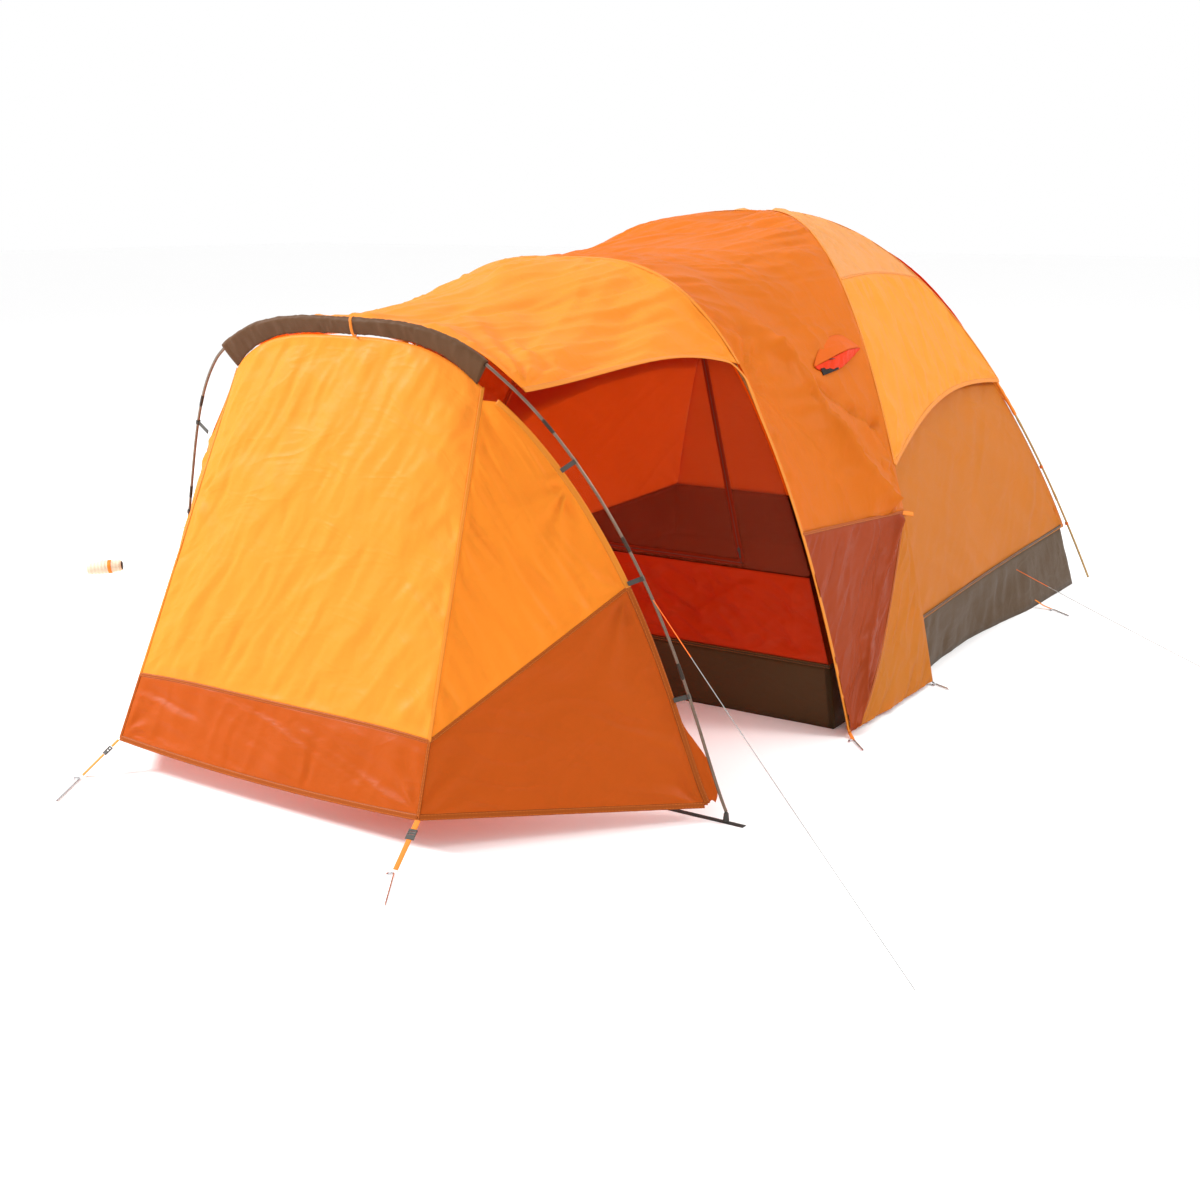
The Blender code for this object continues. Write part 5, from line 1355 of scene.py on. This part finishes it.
def stitch_tree():
    """Lays one thread stitch at each step along every line of the input."""
    tree = bpy.data.node_groups.new("stitch_rows", "GeometryNodeTree")
    face = tree.interface
    face.new_socket("Geometry", in_out="INPUT", socket_type="NodeSocketGeometry")
    for label, value in (("Spacing", 0.009), ("Stitch Length", 0.006), ("Thread Radius", 0.0004)):
        face.new_socket(label, in_out="INPUT", socket_type="NodeSocketFloat").default_value = value
    face.new_socket("Thread", in_out="INPUT", socket_type="NodeSocketMaterial")
    face.new_socket("Geometry", in_out="OUTPUT", socket_type="NodeSocketGeometry")
    nodes, join = tree.nodes, tree.links.new
    given, made = nodes.new("NodeGroupInput"), nodes.new("NodeGroupOutput")
    curve, steps = nodes.new("GeometryNodeMeshToCurve"), nodes.new("GeometryNodeResampleCurve")
    steps.mode = "LENGTH"
    stitch, place = nodes.new("GeometryNodeMeshCylinder"), nodes.new("GeometryNodeInstanceOnPoints")
    stitch.inputs["Vertices"].default_value = 4
    heading, aim = nodes.new("GeometryNodeInputTangent"), nodes.new("FunctionNodeAlignRotationToVector")
    aim.axis = "Z"
    real, paint = nodes.new("GeometryNodeRealizeInstances"), nodes.new("GeometryNodeSetMaterial")
    join(given.outputs["Geometry"], curve.inputs[0])
    join(curve.outputs[0], steps.inputs["Curve"])
    join(given.outputs["Spacing"], steps.inputs["Length"])
    join(given.outputs["Thread Radius"], stitch.inputs["Radius"])
    join(given.outputs["Stitch Length"], stitch.inputs["Depth"])
    join(steps.outputs[0], place.inputs["Points"])
    join(stitch.outputs["Mesh"], place.inputs["Instance"])
    join(heading.outputs[0], aim.inputs["Vector"])
    join(aim.outputs[0], place.inputs["Rotation"])
    join(place.outputs[0], real.inputs[0])
    join(real.outputs[0], paint.inputs["Geometry"])
    join(given.outputs["Thread"], paint.inputs["Material"])
    join(paint.outputs[0], made.inputs[0])
    return tree


def from_nodes(name, tree, lines, values, body="tent"):
    """Runs a node tree on a set of lines and keeps the result as a plain mesh."""
    points, edges = [], []
    for line in lines:
        edges += [(len(points) + k, len(points) + k + 1) for k in range(len(line) - 1)]
        points += [tuple(p) for p in line]
    mesh = bpy.data.meshes.new(name + "_lines")
    mesh.from_pydata(points, edges, [])
    guide = bpy.data.objects.new(name + "_lines", mesh)
    scene.collection.objects.link(guide)
    modifier = guide.modifiers.new("rows", "NODES")
    modifier.node_group = tree
    for item in tree.interface.items_tree:
        if item.item_type == "SOCKET" and item.in_out == "INPUT" and item.name in values:
            modifier[item.identifier] = values[item.name]
    bpy.context.view_layer.update()
    graph = bpy.context.evaluated_depsgraph_get()
    result = bpy.data.meshes.new_from_object(guide.evaluated_get(graph), depsgraph=graph)
    bpy.data.objects.remove(guide, do_unlink=True)
    obj = bpy.data.objects.new(name, result)
    scene.collection.objects.link(obj)
    return finish_piece(obj, body)


def teeth_tree():
    """A zip: one block of teeth at each step along the tape."""
    tree = bpy.data.node_groups.new("zip_teeth", "GeometryNodeTree")
    face = tree.interface
    face.new_socket("Geometry", in_out="INPUT", socket_type="NodeSocketGeometry")
    for label, value in (("Pitch", 0.005), ("Tooth Size", 0.0022)):
        face.new_socket(label, in_out="INPUT", socket_type="NodeSocketFloat").default_value = value
    face.new_socket("Finish", in_out="INPUT", socket_type="NodeSocketMaterial")
    face.new_socket("Geometry", in_out="OUTPUT", socket_type="NodeSocketGeometry")
    nodes, join = tree.nodes, tree.links.new
    given, made = nodes.new("NodeGroupInput"), nodes.new("NodeGroupOutput")
    curve, steps = nodes.new("GeometryNodeMeshToCurve"), nodes.new("GeometryNodeResampleCurve")
    steps.mode = "LENGTH"
    tooth, place = nodes.new("GeometryNodeMeshIcoSphere"), nodes.new("GeometryNodeInstanceOnPoints")
    tooth.inputs["Subdivisions"].default_value = 1
    real, paint = nodes.new("GeometryNodeRealizeInstances"), nodes.new("GeometryNodeSetMaterial")
    join(given.outputs["Geometry"], curve.inputs[0])
    join(curve.outputs[0], steps.inputs["Curve"])
    join(given.outputs["Pitch"], steps.inputs["Length"])
    join(given.outputs["Tooth Size"], tooth.inputs["Radius"])
    join(steps.outputs[0], place.inputs["Points"])
    join(tooth.outputs["Mesh"], place.inputs["Instance"])
    join(place.outputs[0], real.inputs[0])
    join(real.outputs[0], paint.inputs["Geometry"])
    join(given.outputs["Finish"], paint.inputs["Material"])
    join(paint.outputs[0], made.inputs[0])
    return tree


from_nodes("seam_stitches", stitch_tree(), SEAM_LINES,
           {"Spacing": 0.011, "Stitch Length": 0.0075, "Thread Radius": 0.00045, "Thread": thread_finish})
zip_lines = [resample(np.array([a, b]) + np.array([0, -0.0050, 0]), 60) for a, b in
             ((door_corners[0], door_corners[1]), (door_corners[3], door_corners[0]))]
from_nodes("door_zip_teeth", teeth_tree(), zip_lines,
           {"Pitch": 0.005, "Tooth Size": 0.0020, "Finish": plastic_finish})

# ---- floor and light ----
ground_mesh = bpy.data.meshes.new("studio_floor")
ground_corners = [(x, y, -0.001) for x, y in ((-60, -60), (60, -60), (60, 60), (-60, 60))]
ground_mesh.from_pydata(ground_corners, [], [(0, 1, 2, 3)])
studio_floor = bpy.data.objects.new("studio_floor", ground_mesh)
scene.collection.objects.link(studio_floor)
floor_finish = Finish("studio_floor_finish")
floor_finish.shader.inputs["Base Color"].default_value = (0.985, 0.985, 0.985, 1)
floor_finish.shader.inputs["Roughness"].default_value = 0.9
ground_mesh.materials.append(floor_finish.material)

world = bpy.data.worlds.new("studio_world")
world.use_nodes = True
world.node_tree.nodes["Background"].inputs[0].default_value = (1, 1, 1, 1)
world.node_tree.nodes["Background"].inputs[1].default_value = 1.0
scene.world = world


def lamp(name, place, aim, size, power):
    data = bpy.data.lights.new(name, "AREA")
    data.shape, data.size, data.energy = "DISK", size, power
    obj = bpy.data.objects.new(name, data)
    obj.location = place
    direction = unit(np.array(aim, float) - np.array(place, float))
    obj.rotation_mode = "QUATERNION"
    obj.rotation_quaternion = Vector(direction).to_track_quat("-Z", "Y")
    scene.collection.objects.link(obj)


lamp("key", (-6.5, -6.5, 6.5), (0, -1.5, 0.8), 2.5, 1100)
lamp("side", (7.0, 1.0, 5.0), (0.6, 0, 0.8), 2.5, 260)
lamp("top", (0.5, -0.5, 8.0), (0, -0.8, 0.5), 3.0, 160)
